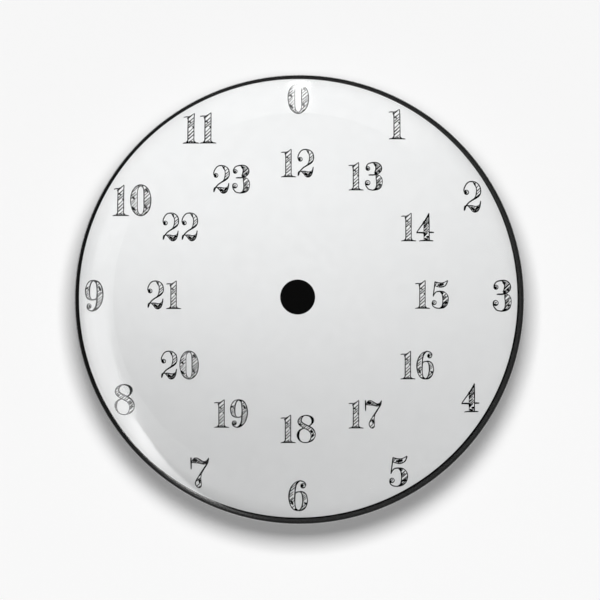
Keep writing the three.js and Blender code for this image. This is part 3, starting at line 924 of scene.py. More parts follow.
def run_through(points, step=0.02):
    """A smooth line through points of any number of values; it closes if its ends are the same."""
    closed = len(points) > 3 and points[0] == points[-1]
    count = len(points) - 1
    line = []
    for i in range(count):
        before = points[(i - 1) % count] if closed else points[max(i - 1, 0)]
        after = points[(i + 2) % count if closed else min(i + 2, count)]
        here, there = points[i], points[i + 1]
        steps = max(2, math.ceil(math.dist(here[:2], there[:2]) / step))
        for k in range(steps):
            t = k / steps
            line.append(
                tuple(
                    0.5
                    * (
                        2 * b
                        + (c - a) * t
                        + (2 * a - 5 * b + 4 * c - d) * t * t
                        + (3 * b - a - 3 * c + d) * t**3
                    )
                    for a, b, c, d in zip(before, here, there, after)
                )
            )
    line.append(tuple(points[-1]))
    return line


def drawn(points, pen, chance):
    """A pen line whose weight wavers a little."""
    weight = pen
    line = []
    for x, y in points:
        weight += chance.uniform(-PEN_WAVER, PEN_WAVER) * pen
        weight = min(max(weight, LIGHTEST * pen), HEAVIEST * pen)
        line.append((x, y, weight / 2))
    return line


# %% [markdown]
# Hatching is done as an engraver does it, by parallel lines that stop at the outline. A line is
# cut where it crosses the body's edges, and the pieces between an odd and an even crossing are
# inside. Spacing, weight and length vary a little, a line is left out now and then, and each
# stroke thins towards its end.

# %% Hatching of a body
HATCH_ANGLE = math.radians(42)
HATCH_PEN = (0.02, 0.034)
HATCH_GAP = 0.07
DARK_GAP = 0.042
HATCH_STRAY = 0.22  # of the gap
SHORTEST_HATCH = 0.045
LEFT_OUT = 0.07
HATCH_REACHES = (1, 1, 1, 0.7)
HATCH_TILT = 0.008
ALONG_STROKE = (-1, -0.5, 0, 0.5, 1)
STROKE_WEIGHTS = (1, 1.1, 1, 0.9, 0.7)


def hatching(edges, gap, chance):
    """Slanted pen lines inside a body."""
    along = (math.cos(HATCH_ANGLE), math.sin(HATCH_ANGLE))
    sides = []
    for edge in edges:
        flat = [(x * along[0] + y * along[1], y * along[0] - x * along[1]) for x, y in edge]
        sides += zip(flat, flat[1:])
    lows = [min(a[1], b[1]) for a, b in sides]
    highs = [max(a[1], b[1]) for a, b in sides]
    lines = []
    level = min(lows) + gap / 2
    while level < max(highs):
        at = level + chance.uniform(-HATCH_STRAY, HATCH_STRAY) * gap
        cuts = sorted(
            a[0] + (b[0] - a[0]) * (at - a[1]) / (b[1] - a[1])
            for a, b in sides
            if (a[1] > at) != (b[1] > at)
        )
        for first, last in zip(cuts[::2], cuts[1::2]):
            if last - first > SHORTEST_HATCH and chance.random() > LEFT_OUT:
                pen = chance.uniform(*HATCH_PEN)
                end = first + (last - first) * chance.choice(HATCH_REACHES)
                tilt = chance.uniform(-HATCH_TILT, HATCH_TILT)
                stroke = []
                for u, s, weight in zip(spaced(4, first, end), ALONG_STROKE, STROKE_WEIGHTS):
                    v = at + tilt * s
                    x, y = u * along[0] - v * along[1], u * along[1] + v * along[0]
                    stroke.append((x, y, pen * weight / 2))
                lines.append(stroke)
        level += gap
    return lines


# %% [markdown]
# A ball, the round end of a figure such as a 2, is a ring that is heavier at its lower left, with
# two strokes in it. With it a figure has all its parts, and its seed makes it the same each time.

# %% All the pen lines of a figure
BALL_INSET = 0.016
HEAVY_SIDE = math.radians(215)
HAIR_WEIGHT = 1.1
THINNEST_HAIR = 0.015


def ball(x, y, radius):
    """A round terminal of a figure."""
    ring = []
    for turn in spaced(20, 0, math.tau):
        heavy = 0.5 + 0.5 * math.cos(turn - HEAVY_SIDE)
        across, up = math.cos(turn), math.sin(turn)
        reach = radius - BALL_INSET
        ring.append((x + reach * across, y + reach * up, 0.012 + 0.014 * heavy))
    end = (x + 0.35 * radius, y + 0.3 * radius, 0.009)
    strokes = [[(x - 0.45 * radius, y + low * radius, 0.008), end] for low in (-0.45, 0.1)]
    return [ring, *strokes]


def pen_lines(figure, seed):
    """All the pen lines of one figure."""
    chance = random.Random(seed)
    lines = []
    outline = figure.get("outline", OUTLINE_PEN)
    for part, gap in (("bodies", figure.get("gap", HATCH_GAP)), ("dark_bodies", DARK_GAP)):
        for body in figure.get(part, []):
            edges = [run_through(edge) for edge in body]
            lines += [drawn(edge, outline, chance) for edge in edges]
            lines += hatching(edges, gap, chance)
    for part in ("hairs", "spots"):
        for line in figure.get(part, []):
            smooth = run_through(line)
            lines.append([(x, y, HAIR_WEIGHT * max(w, THINNEST_HAIR) / 2) for x, y, w in smooth])
    for place in figure.get("balls", []):
        lines += ball(*place)
    return lines


# %% [markdown]
# ### A tree that inks pen lines
#
# The pen lines are loose edges in a flat plane, each point with its half width. The tree turns
# them into curves, spaces their points evenly and sweeps a short flat line along them, scaled by
# the half width. That gives flat ribbons, as ink lies on paper.

# %% The inking tree and the ten figures
def build_inking():
    tree, given, result = shape_tree("ink_pen_lines", step="Float", ink="Material")
    curves = add_node(tree, "GeometryNodeMeshToCurve", {0: given["Geometry"]})
    even = add_node(
        tree,
        "GeometryNodeResampleCurve",
        {"Curve": curves.outputs[0], "Length": given["Step"]},
        mode="LENGTH",
    )
    level = add_node(tree, "GeometryNodeSetCurveNormal", {0: even.outputs[0]}, mode="Z_UP")
    nib = add_node(tree, "GeometryNodeCurvePrimitiveLine", {0: (-1, 0, 0), 1: (1, 0, 0)})
    pen = read_attribute(tree, "pen", "FLOAT")
    ribbon = add_node(
        tree,
        "GeometryNodeCurveToMesh",
        {"Curve": level.outputs[0], "Profile Curve": nib.outputs[0], "Scale": pen},
    )
    end_tree(tree, ribbon.outputs[0], given["Ink"], result)
    return tree


PEN_STEP = 0.024
FIRST_SEED = 400
inking = build_inking()
figure_set = bpy.data.collections.new("figures")
for digit in range(10):
    lines = pen_lines(FIGURES[digit], seed=FIRST_SEED + digit)
    vertices, edges, pens = [], [], []
    for line in lines:
        first = len(vertices)
        vertices += [(x, y, 0) for x, y, _ in line]
        pens += [pen for _, _, pen in line]
        edges += [(first + i, first + i + 1) for i in range(len(line) - 1)]
    loose = place_mesh(f"pen_lines_{digit}", vertices, edges)
    give_attribute(loose, "pen", pens)
    figure = grow(loose, inking, f"figure_{digit}", step=PEN_STEP, ink=ink_finish)
    bpy.context.scene.collection.objects.unlink(figure)
    figure_set.objects.link(figure)

# %% [markdown]
# ### Setting the dial
#
# Twelve hours stand in an outer ring and twelve in an inner one, all upright. Their centres were
# measured in the photograph. Seen from the front a mark near the edge is nearer the middle than
# it was on the flat paper, so each centre is moved out along the pressed line first. The tree
# puts a figure on each point, and the ring and the dot are plain flat shapes beside them.

# %% Where each figure goes
HOUR_CENTRES = {
    0: (298.3, 98), 1: (397.1, 123.8), 2: (472.2, 196.6), 3: (502.2, 295.8), 4: (470.3, 397.8),
    5: (398.4, 471.5), 6: (298.2, 495.8), 7: (200, 473), 8: (124.2, 399.6), 9: (93.8, 295.8),
    10: (131.8, 200.3), 11: (199.6, 128), 12: (297.3, 163.1), 13: (365.5, 176.3),
    14: (417.6, 227.1), 15: (431.8, 294.5), 16: (417.1, 365.1), 17: (365.4, 414.3),
    18: (298, 428.9), 19: (230.8, 413.6), 20: (179.6, 365), 21: (164.2, 294.8), 22: (180, 226.8),
    23: (231.4, 179.2),
}
FOUR_HEIGHT = 3.68  # the 4 of the outer ring is drawn smaller than its neighbours
OUTER_HEIGHT = 3.97
INNER_HEIGHT = 3.58
GAP_AFTER = {1: 0.052, 2: 0.11}  # to the next figure, in figure heights
TIGHT_GAP = {11: 0.02, 14: 0.0}


def on_flat_paper(px, py):
    """Where a pixel of the photograph was on the flat sheet, in millimetres."""
    widest = max(range(len(paper_line)), key=lambda i: paper_line[i][0])
    height, flat, seen = paper_line[0][1], 0.0, 1.0
    for _ in range(6):
        reach = PIXEL * (distance + CURL_RADIUS - height) / distance
        x = camera.location.x / MM + (px - FRAME_PIXELS / 2) * reach
        z = camera.location.z / MM - (py - FRAME_PIXELS / 2) * reach
        seen = math.hypot(x, z)
        i = max(k for k in range(widest) if paper_line[k][0] <= seen)
        t = (seen - paper_line[i][0]) / (paper_line[i + 1][0] - paper_line[i][0])
        height = paper_line[i][1] + (paper_line[i + 1][1] - paper_line[i][1]) * t
        flat = paper_flat[i] + (paper_flat[i + 1] - paper_flat[i]) * t
    return (x * flat / seen, z * flat / seen)


spots, digits, heights = [], [], []
for hour, (px, py) in HOUR_CENTRES.items():
    height = FOUR_HEIGHT if hour == 4 else OUTER_HEIGHT if hour < 12 else INNER_HEIGHT
    shown = [int(c) for c in str(hour)]
    gaps = [TIGHT_GAP.get(hour, GAP_AFTER[d]) for d in shown[:-1]]
    total = sum(FIGURES[d]["width"] for d in shown) + sum(gaps)
    middle = on_flat_paper(px, py)
    left = middle[0] - total * height / 2
    for place, digit in enumerate(shown):
        spots.append((left * MM, (middle[1] - height / 2) * MM, 0))
        digits.append(digit)
        heights.append(height * MM)
        if place < len(gaps):
            left += (FIGURES[digit]["width"] + gaps[place]) * height
print(f"{len(spots)} figures on the dial")


# %% The trees that set the figures and lay them on the paper
def build_setting():
    tree, given, result = shape_tree("set_figures", figures="Collection", ink="Material")
    types = add_node(
        tree,
        "GeometryNodeCollectionInfo",
        {"Collection": given["Figures"], "Separate Children": True, "Reset Children": True},
    )
    placed = add_node(
        tree,
        "GeometryNodeInstanceOnPoints",
        {
            "Points": given["Geometry"],
            "Instance": types.outputs[0],
            "Pick Instance": True,
            "Instance Index": read_attribute(tree, "digit", "INT"),
            "Scale": read_attribute(tree, "height", "FLOAT"),
        },
    )
    end_tree(tree, placed.outputs[0], given["Ink"], result)
    return tree


def build_laying():
    tree, given, result = shape_tree("lay_on_sheet", sheet="Object", lift="Float", ink="Material")
    sheet = add_node(tree, "GeometryNodeObjectInfo", {0: given["Sheet"]}).outputs["Geometry"]
    flat = add_node(tree, "GeometryNodeInputPosition").outputs[0]
    scaled = add_node(
        tree, "ShaderNodeVectorMath", {0: flat, "Scale": 1 / FLAT_SPAN}, operation="SCALE"
    )
    on_map = add_node(tree, "ShaderNodeVectorMath", {0: scaled.outputs[0], 1: (0.5, 0.5, 0)})
    uv_map = read_attribute(tree, "unrolled", "FLOAT_VECTOR")

    def from_sheet(kind):
        value = add_node(tree, kind).outputs[0]
        picked = add_node(tree, "GeometryNodeSampleUVSurface", data_type="FLOAT_VECTOR")
        tree.links.new(sheet, picked.inputs[0])
        tree.links.new(value, picked.inputs["Value"])
        tree.links.new(uv_map, picked.inputs["UV Map"])
        tree.links.new(on_map.outputs[0], picked.inputs["Sample UV"])
        return picked.outputs[0]

    place = from_sheet("GeometryNodeInputPosition")
    normal = from_sheet("GeometryNodeInputNormal")
    raised = add_node(
        tree, "ShaderNodeVectorMath", {0: normal, "Scale": given["Lift"]}, operation="SCALE"
    )
    spot = add_node(tree, "ShaderNodeVectorMath", {0: place, 1: raised.outputs[0]})
    laid = add_node(
        tree, "GeometryNodeSetPosition", {0: given["Geometry"], "Position": spot.outputs[0]}
    )
    end_tree(tree, laid.outputs[0], given["Ink"], result)
    return tree


setting = build_setting()
laying = build_laying()

# %% [markdown]
# The print went into the press slightly off-centre, up and to the left, which is why its black
# ring is thin there and shows a line of bare paper at the lower right. The ring and the dot keep
# that offset. All the ink is laid on the paper by its UV map, the flat sheet, so it goes over
# the edge exactly as the paper does. The sheet that it is laid on is the paper's outer face.

# %% Lay the ink
DOT_CENTRE = (297.66, 297.03)  # this and the next three are in pixels of the photograph
DOT_SEEN = 17.5
RING_CENTRE = (297.45, 297.55)
RING_SEEN = 219.25
RING_WIDTH = 1.9
INK_LIFT = 0.01
RING_STEPS = 720
DOT_STEPS = 128
DOT_HOLE = 0.001
dot_offset = on_flat_paper(*DOT_CENTRE)
dot_radius = on_flat_paper(DOT_CENTRE[0] + DOT_SEEN, DOT_CENTRE[1])[0] - dot_offset[0]
ring_offset = on_flat_paper(*RING_CENTRE)
ring_inner = on_flat_paper(DISC_CENTRE[0] + RING_SEEN, DISC_CENTRE[1])[0]


def flat_ring(name, centre, inner, outer, rings, steps):
    """A flat ring round a place on the sheet; with next to no inner radius it is a disc."""
    vertices, faces = [], []
    for radius in spaced(rings, inner, outer):
        for turn in spaced(steps, 0, math.tau, keep_last=False):
            x, y = radius * math.cos(turn), radius * math.sin(turn)
            vertices.append(((centre[0] + x) * MM, (centre[1] + y) * MM, 0))
    for ring in range(rings):
        for k in range(steps):
            a, b = ring * steps + k, ring * steps + (k + 1) % steps
            faces.append((a, a + steps, b + steps, b))
    return place_mesh(name, vertices, faces=faces)


section = section_of("paper_skin", paper_line, paper_flat, [1.0] * len(paper_line))
both_sides = (paper_finish, paper_finish)
skin = press_round(section, "paper_skin", SHEET_STEPS, both_sides, PLEAT_DEPTH)
points = place_mesh("hour_points", spots)
give_attribute(points, "digit", digits, "INT")
give_attribute(points, "height", heights)
flat_numbers = grow(points, setting, "flat_numbers", figures=figure_set, ink=ink_finish)
lay = {"sheet": skin, "lift": INK_LIFT * MM, "ink": ink_finish}
numbers = grow(flat_numbers, laying, "dial_numbers", **lay)
ring = flat_ring("flat_ring", ring_offset, ring_inner, ring_inner + RING_WIDTH, 16, RING_STEPS)
ring = grow(ring, laying, "dial_ring", **lay)
dot = flat_ring("flat_dot", dot_offset, DOT_HOLE, dot_radius, 8, DOT_STEPS)
dot = grow(dot, laying, "dial_dot", **lay)
bpy.data.objects.remove(skin)

# %% [markdown]
# ## Back plate
#
# The back is a second, flatter pressing: a floor with a raised bead that stiffens it, a shallow
# dish wall, a flange that sits on the tucked edges and an outer wall inside the edge roll. The
# same tree turns it. The bead is a full cosine wave and the bends are arcs about one centre, so
# the plate keeps its thickness.

# %% Press the back plate
PLATE_THICKNESS = 0.3
PLATE_BEND = 0.45
FLOOR_RECESS = 0.7
GROOVE_WIDTH = 0.6
PLATE_HEIGHT = 2.3
PLATE_CLEARANCE = 0.12
BEAD_RADIUS = 21.4
BEAD_WIDTH = 2.6
BEAD_HEIGHT = 0.32


def plate_lines():
    """The plate's back and front lines as (radius, height)."""
    back, front = [(0, FLOOR_RECESS)], [(0, FLOOR_RECESS + PLATE_THICKNESS)]
    for t in spaced(24, 0, 1):
        radius = BEAD_RADIUS + BEAD_WIDTH * (t - 0.5)
        height = FLOOR_RECESS - BEAD_HEIGHT * (1 - math.cos(math.tau * t)) / 2
        back.append((radius, height))
        front.append((radius, height + PLATE_THICKNESS))

    def bend(radius, height, back_radius, front_radius, first, last):
        for a in spaced(8, math.radians(first), math.radians(last)):
            c, s = math.cos(a), math.sin(a)
            back.append((radius + back_radius * c, height + back_radius * s))
            front.append((radius + front_radius * c, height + front_radius * s))

    tight = PLATE_BEND - PLATE_THICKNESS
    dish = TUCK_INSIDE - GROOVE_WIDTH
    inside = pressed_line(SHELL_DEPTH + SHELL_THICKNESS, METAL_FINE)
    outer = max(r for r, h, _, _ in inside if h < PLATE_HEIGHT) - PLATE_CLEARANCE
    bend(dish - PLATE_BEND, FLOOR_RECESS + PLATE_BEND, PLATE_BEND, tight, -90, 0)
    bend(dish + tight, TUCK_HEIGHT - tight, tight, PLATE_BEND, 180, 90)
    bend(outer - PLATE_BEND, TUCK_HEIGHT + PLATE_BEND, PLATE_BEND, tight, -90, 0)
    back.append((outer, PLATE_HEIGHT))
    front.append((outer - PLATE_THICKNESS, PLATE_HEIGHT))
    return back + front[::-1]


def turned_piece(name, profile, steps, finish):
    """A closed profile of (radius, height) turned about the Y axis."""
    points = [(r, h, (0, 0), 0) for r, h in profile]
    section = section_of(name, points, flat_distances(points), [1.0] * len(points))
    return press_round(section, name, steps, (finish, finish))


plate_piece = turned_piece("plate_pressing", plate_lines(), METAL_STEPS, tin_finish)

# %% [markdown]
# ## The bar pin
#
# The pin is stamped, bent and riveted from sheet and wire. A stamped part is a filled outline
# with some thickness and slightly rounded edges. Each part is made lying flat, turned into a
# mesh, and only then put in its place, so the finished object itself stays unmoved.

# %% Helpers for stamped parts
WELD = 2e-6  # metres
TINY_EDGE = 1e-7
SHARP_CORNER = math.radians(35)


def at(x, y, z):
    """A move in millimetres."""
    return Matrix.Translation(Vector((x, y, z)) * MM)


def arc(x, y, radius, first, last, steps=24):
    """Points on an arc, in degrees."""
    return [
        (x + radius * math.cos(math.radians(a)), y + radius * math.sin(math.radians(a)))
        for a in spaced(steps, first, last)
    ]


def mesh_of(piece):
    """The mesh of an object, welded and facing outwards. The object itself is dropped."""
    bpy.context.view_layer.update()
    seen = piece.evaluated_get(bpy.context.evaluated_depsgraph_get())
    mesh = bpy.data.meshes.new_from_object(seen)
    bpy.data.objects.remove(piece)
    shape = bmesh.new()
    shape.from_mesh(mesh)
    bmesh.ops.remove_doubles(shape, verts=shape.verts, dist=WELD)
    bmesh.ops.dissolve_degenerate(shape, edges=shape.edges, dist=TINY_EDGE)
    bmesh.ops.recalc_face_normals(shape, faces=shape.faces)
    if shape.calc_volume(signed=True) < 0:
        bmesh.ops.reverse_faces(shape, faces=shape.faces)
    shape.to_mesh(mesh)
    shape.free()
    return mesh


def curve_object(lines, flat=True):
    """A curve object in metres from lines of points in millimetres."""
    curve = bpy.data.curves.new("line", "CURVE")
    curve.dimensions = "2D" if flat else "3D"
    for line in lines:
        spline = curve.splines.new("POLY")
        spline.points.add(len(line) - 1)
        spline.use_cyclic_u = flat
        for point, place in zip(spline.points, line):
            spot = Vector((*place, 0, 0)[:3]) * MM
            point.co = (*spot, 1)
    piece = bpy.data.objects.new("line", curve)
    bpy.context.scene.collection.objects.link(piece)
    return piece


def stamped(outlines, thickness, edge):
    """A plate from an outline and its holes, with rounded edges, centred on its thickness."""
    piece = curve_object(outlines)
    piece.data.fill_mode = "BOTH"
    piece.data.extrude = (thickness / 2 - edge) * MM
    piece.data.bevel_depth = edge * MM
    piece.data.bevel_resolution = 2
    piece.data.offset = -edge * MM
    return mesh_of(piece)


def assemble(name, parts, finish):
    """One object from meshes and their places."""
    shape = bmesh.new()
    for mesh, place in parts:
        mesh.transform(place)
        shape.from_mesh(mesh)
        bpy.data.meshes.remove(mesh)
    mesh = bpy.data.meshes.new(name)
    shape.to_mesh(mesh)
    shape.free()
    mesh.materials.clear()
    mesh.materials.append(finish)
    mesh.polygons.foreach_set("material_index", [0] * len(mesh.polygons))
    mesh.shade_smooth()
    mesh.set_sharp_from_angle(angle=SHARP_CORNER)
    piece = bpy.data.objects.new(name, mesh)
    bpy.context.scene.collection.objects.link(piece)
    print(f"{name}: {len(mesh.polygons)} faces")
    return piece


def rounded_rectangle(width, height, corner):
    x, y = width / 2 - corner, height / 2 - corner
    line = []
    for k, (right, up) in enumerate(((1, 1), (-1, 1), (-1, -1), (1, -1))):
        line += arc(right * x, up * y, corner, 90 * k, 90 * (k + 1), 10)
    return line


def hole(x, radius, steps):
    """The outline of a round hole, which runs the other way round."""
    return arc(x, 0, radius, 360, 0, steps)[:-1]


UPRIGHT = Matrix.Rotation(math.radians(90), 4, "X")
ACROSS = Matrix.Rotation(math.radians(-90), 4, "Y")
PIN_HEIGHT = 7
PAD_THICKNESS = 0.8
BAR_THICKNESS = 0.6
NEEDLE_RISE = 2.5
BAR_BACK = -FLOOR_RECESS + PAD_THICKNESS + BAR_THICKNESS
NEEDLE_LINE = BAR_BACK + NEEDLE_RISE
HINGE_X = -13.2
CATCH_X = 13.2
SEAT = BAR_THICKNESS / 2

# %% [markdown]
# The foam tape was cut with a knife from a thick strip. It bulges a little where the bar was
# pressed on, so its outline swells in the middle of its height.

# %% Foam pad
PAD_LENGTH = 30
PAD_WIDTH = 4.2
PAD_CORNER = 1
PAD_BULGE = 0.09

pad_layers = []
for level in spaced(8, -1, 1):
    bulge = -PAD_BULGE * level * level
    height = level * PAD_THICKNESS / 2
    sizes = (PAD_LENGTH + 2 * bulge, PAD_WIDTH + 2 * bulge, PAD_CORNER + bulge)
    pad_layers.append([(x * MM, y * MM, height * MM) for x, y in rounded_rectangle(*sizes)])
count = len(pad_layers[0])
vertices = [spot for layer in pad_layers for spot in layer]
faces = []
for layer in range(len(pad_layers) - 1):
    low, high = layer * count, (layer + 1) * count
    for k in range(count):
        faces.append((low + k, low + (k + 1) % count, high + (k + 1) % count, high + k))
faces.append(tuple(range(count))[::-1])
faces.append(tuple(range(len(vertices) - count, len(vertices))))
foam_block = mesh_of(place_mesh("foam_block", vertices, faces=faces))
pad_place = at(0, -FLOOR_RECESS + PAD_THICKNESS / 2, PIN_HEIGHT) @ UPRIGHT
pad_piece = assemble("foam_pad", [(foam_block, pad_place)], foam_finish)

# %% [markdown]
# The bar has three sewing holes, two ears bent up at its left end for the hinge and a C-shaped
# housing at its right end. The mouth of the C faces away from the cloth, so the needle can go in.

# %% Bar with its ears and catch housing
BAR_LENGTH = 34
BAR_WIDTH = 4.6
BAR_CORNER = 1.2
BAR_EDGE = 0.09
HOLE_RADIUS = 0.9
HOLE_PLACES = (-8, 0, 8)
EAR_THICKNESS = 0.6
EAR_GAP = 3.4
EAR_REACH = 2.1
EAR_RADIUS = 1.35
EAR_HOLE = 0.53
EAR_EDGE = 0.07
HOUSING_LENGTH = 2.6
HOUSING_INSIDE = 1.6
HOUSING_OUTSIDE = 2.1
HOUSING_FOOT = 1.3
HOUSING_EDGE = 0.08
MOUTH = 66  # degrees from the middle of the mouth to its side

holes = [hole(x, HOLE_RADIUS, 40) for x in HOLE_PLACES]
bar_outline = rounded_rectangle(BAR_LENGTH, BAR_WIDTH, BAR_CORNER)
bar = stamped([bar_outline, *holes], BAR_THICKNESS, BAR_EDGE)
parts = [(bar, at(0, BAR_BACK - BAR_THICKNESS / 2, PIN_HEIGHT) @ UPRIGHT)]
ear_outline = [
    (-EAR_REACH, -NEEDLE_RISE - SEAT),
    (EAR_REACH, -NEEDLE_RISE - SEAT),
    (EAR_REACH, -NEEDLE_RISE),
    *arc(0, 0, EAR_RADIUS, 0, 180, 30),
    (-EAR_REACH, -NEEDLE_RISE),
]
for side in (-1, 1):
    ear = stamped([ear_outline, hole(0, EAR_HOLE, 32)], EAR_THICKNESS, EAR_EDGE)
    z = PIN_HEIGHT + side * (EAR_GAP + EAR_THICKNESS) / 2
    parts.append((ear, at(HINGE_X, NEEDLE_LINE, z)))
foot = math.degrees(math.acos(HOUSING_FOOT / HOUSING_OUTSIDE))
housing_outline = [
    *arc(0, 0, HOUSING_OUTSIDE, 90 + MOUTH, 180 + foot, 20),
    (-HOUSING_FOOT, -NEEDLE_RISE - SEAT),
    (HOUSING_FOOT, -NEEDLE_RISE - SEAT),
    *arc(0, 0, HOUSING_OUTSIDE, -foot, 90 - MOUTH, 20),
    *arc(0, 0, HOUSING_INSIDE, 90 - MOUTH, MOUTH - 270, 48),
]
housing = stamped([housing_outline], HOUSING_LENGTH, HOUSING_EDGE)
parts.append((housing, at(CATCH_X, NEEDLE_LINE, PIN_HEIGHT) @ ACROSS))
bar_piece = assemble("bar_stamping", parts, nickel_finish)

# %% [markdown]
# The rivet's heads were formed by a snap tool: low domes with a flat top. It goes through both
# ears, and the needle's knuckle turns on it.

# %% Hinge rivet
RIVET_RADIUS = 0.5
HEAD_RADIUS = 0.95
HEAD_FLAT = 0.62
HEAD_HEIGHT = 0.4
HEAD_SIDE = 0.1
SMALL_STEPS = 48
under_head = EAR_GAP / 2 + EAR_THICKNESS
dome = []
for a in spaced(8, math.pi / 2, 0):
    out = HEAD_FLAT + (HEAD_RADIUS - HEAD_FLAT) * math.sin(a) ** 0.9
    dome.append((out, under_head + HEAD_SIDE + (HEAD_HEIGHT - HEAD_SIDE) * math.cos(a)))
half = [(RIVET_RADIUS, under_head), (HEAD_RADIUS, under_head), *dome, (0, under_head + HEAD_HEIGHT)]
profile = [(r, -h) for r, h in half[::-1]] + half
rivet = mesh_of(turned_piece("rivet_body", profile, SMALL_STEPS, nickel_finish))
rivet_place = at(HINGE_X, NEEDLE_LINE, PIN_HEIGHT) @ UPRIGHT
rivet_piece = assemble("hinge_pin", [(rivet, rivet_place)], nickel_finish)

# %% [markdown]
# The needle is drawn wire, bowed away from the bar so that it springs into the catch, and ground
# to a long point. The bow is a Bezier curve that ends in line with the straight part. Its other
# end is bent round the rivet as a knuckle, which is turned as a short tube.

# %% Needle
NEEDLE_RADIUS = 0.45
NEEDLE_BOW = 0.7
KNUCKLE_RADIUS = 1.15
KNUCKLE_HOLE = 0.58
KNUCKLE_ROOM = 0.1
KNUCKLE_EDGE = 0.12
HOLE_EDGE = 0.06
POINT_LENGTH = 2.6
POINT_RADIUS = 0.06
WIRE_STRAIGHT = 10.35
WIRE_TIP = 16.85

wire_start = HINGE_X + (KNUCKLE_RADIUS + KNUCKLE_HOLE) / 2
third = (WIRE_STRAIGHT - wire_start) / 3
a = Vector((wire_start, 0))
b = Vector((wire_start + third, NEEDLE_BOW * 9 / 4))
c = Vector((WIRE_STRAIGHT - third, 0))
d = Vector((WIRE_STRAIGHT, 0))
wire_line = []
for t in spaced(60, 0, 1):
    spot = a * (1 - t) ** 3 + 3 * b * t * (1 - t) ** 2 + 3 * c * t * t * (1 - t) + d * t**3
    wire_line.append((spot.x, spot.y, 0))
point_start = WIRE_TIP - POINT_LENGTH
straight = spaced(4, WIRE_STRAIGHT, point_start)[1:] + spaced(14, point_start, WIRE_TIP)[1:]
wire_line += [(x, 0, 0) for x in straight]
wire_curve = curve_object([wire_line], flat=False)
wire_curve.data.bevel_depth = NEEDLE_RADIUS * MM
wire_curve.data.bevel_resolution = 6
wire_curve.data.use_fill_caps = True
for point, (x, _, _) in zip(wire_curve.data.splines[0].points, wire_line):
    ground = POINT_RADIUS + (WIRE_TIP - x) * (NEEDLE_RADIUS - POINT_RADIUS) / POINT_LENGTH
    point.radius = min(ground, NEEDLE_RADIUS) / NEEDLE_RADIUS
wire = mesh_of(wire_curve)
half_length = EAR_GAP / 2 - KNUCKLE_ROOM
half = []
for turn in spaced(5, math.pi / 2, 0):
    out, up = KNUCKLE_EDGE * (1 - math.sin(turn)), KNUCKLE_EDGE * (1 - math.cos(turn))
    half.append((KNUCKLE_RADIUS - out, half_length - up))
for turn in spaced(3, 0, math.pi / 2):
    out, up = HOLE_EDGE * (1 - math.sin(turn)), HOLE_EDGE * (1 - math.cos(turn))
    half.append((KNUCKLE_HOLE + out, half_length - up))
profile = half + [(r, -h) for r, h in half[::-1]]
profile += profile[:1]
knuckle = mesh_of(turned_piece("knuckle_body", profile, SMALL_STEPS, nickel_finish))
needle_place = at(0, NEEDLE_LINE, PIN_HEIGHT)
parts = [(wire, needle_place), (knuckle, at(HINGE_X, NEEDLE_LINE, PIN_HEIGHT) @ UPRIGHT)]
needle_piece = assemble("pin_wire", parts, nickel_finish)

# %% [markdown]
# The roller of the catch turns in the housing. Its slot takes the needle, a collar at each end
# keeps it in place and a thumb tab turns it. It is a slotted disc three times over, at two radii.

# %% Roller of the safety catch
ROLLER_RADIUS = 1.55
ROLLER_EDGE = 0.04
ROLLER_ROOM = 0.1
ROLLER_LAP = 0.1  # how far the roller runs into each collar
COLLAR_RADIUS = 1.95
COLLAR_LENGTH = 0.45
COLLAR_EDGE = 0.08
SLOT = 0.55
TAB_ANGLE = 52
TAB_REACH = 4.2
TAB_WIDTH = 1.8
TAB_THICKNESS = 0.6
TAB_EDGE = 0.09
roller_half = HOUSING_LENGTH / 2 + ROLLER_ROOM


def slotted_disc(radius, length, edge):
    """A disc with a slot from its middle to its +Y side, lying across the X axis."""
    lip = math.degrees(math.acos(SLOT / radius))
    outline = arc(0, 0, radius, 180 - lip, 360 + lip, 60) + arc(0, 0, SLOT, 0, -180, 20)
    return stamped([outline], length, edge)


catch_line = at(CATCH_X, NEEDLE_LINE, PIN_HEIGHT)
roller = slotted_disc(ROLLER_RADIUS, 2 * (roller_half + ROLLER_LAP), ROLLER_EDGE)
parts = [(roller, catch_line @ ACROSS)]
for side in (-1, 1):
    collar = slotted_disc(COLLAR_RADIUS, COLLAR_LENGTH, COLLAR_EDGE)
    offset = side * (roller_half + COLLAR_LENGTH / 2)
    parts.append((collar, catch_line @ at(offset, 0, 0) @ ACROSS))
tab_root = (ROLLER_RADIUS + SLOT) / 2
tab_round = TAB_WIDTH / 2
tab_outline = [
    (-tab_round, tab_root),
    (tab_round, tab_root),
    *arc(0, TAB_REACH - tab_round, tab_round, 0, 180, 24),
]
tab = stamped([tab_outline], TAB_THICKNESS, TAB_EDGE)
parts.append((tab, catch_line @ Matrix.Rotation(math.radians(TAB_ANGLE), 4, "X")))
roller_piece = assemble("catch_roller", parts, nickel_finish)

# %% [markdown]
# ## Who moves with what
#
# Each piece rides on a body of the CAD frame, stands for the CAD nodes that it shows, and is listed
# with a finish slot. The numbers, the ring and the dot have no node of their own: in the CAD they
# are part of the printed disc.

# %% Rides, replaced nodes and finish slots
PIECES = [
    (film_piece, "badge", "film", "clear_film"),
    (paper_piece, "badge", "print", "printed_disc"),
    (numbers, "badge", "print", None),
    (ring, "badge", "print", None),
    (dot, "badge", "print", None),
    (shell_piece, "badge", "tinplate", "front_shell"),
    (plate_piece, "badge", "tinplate", "back_plate"),
    (pad_piece, "badge", "foam", "adhesive_pad"),
    (bar_piece, "badge", "nickel", "pin_bar"),
    (rivet_piece, "badge", "nickel", "hinge_rivet"),
    (needle_piece, "pin_needle", "nickel", "needle"),
    (roller_piece, "catch", "nickel", "safety_catch"),
]


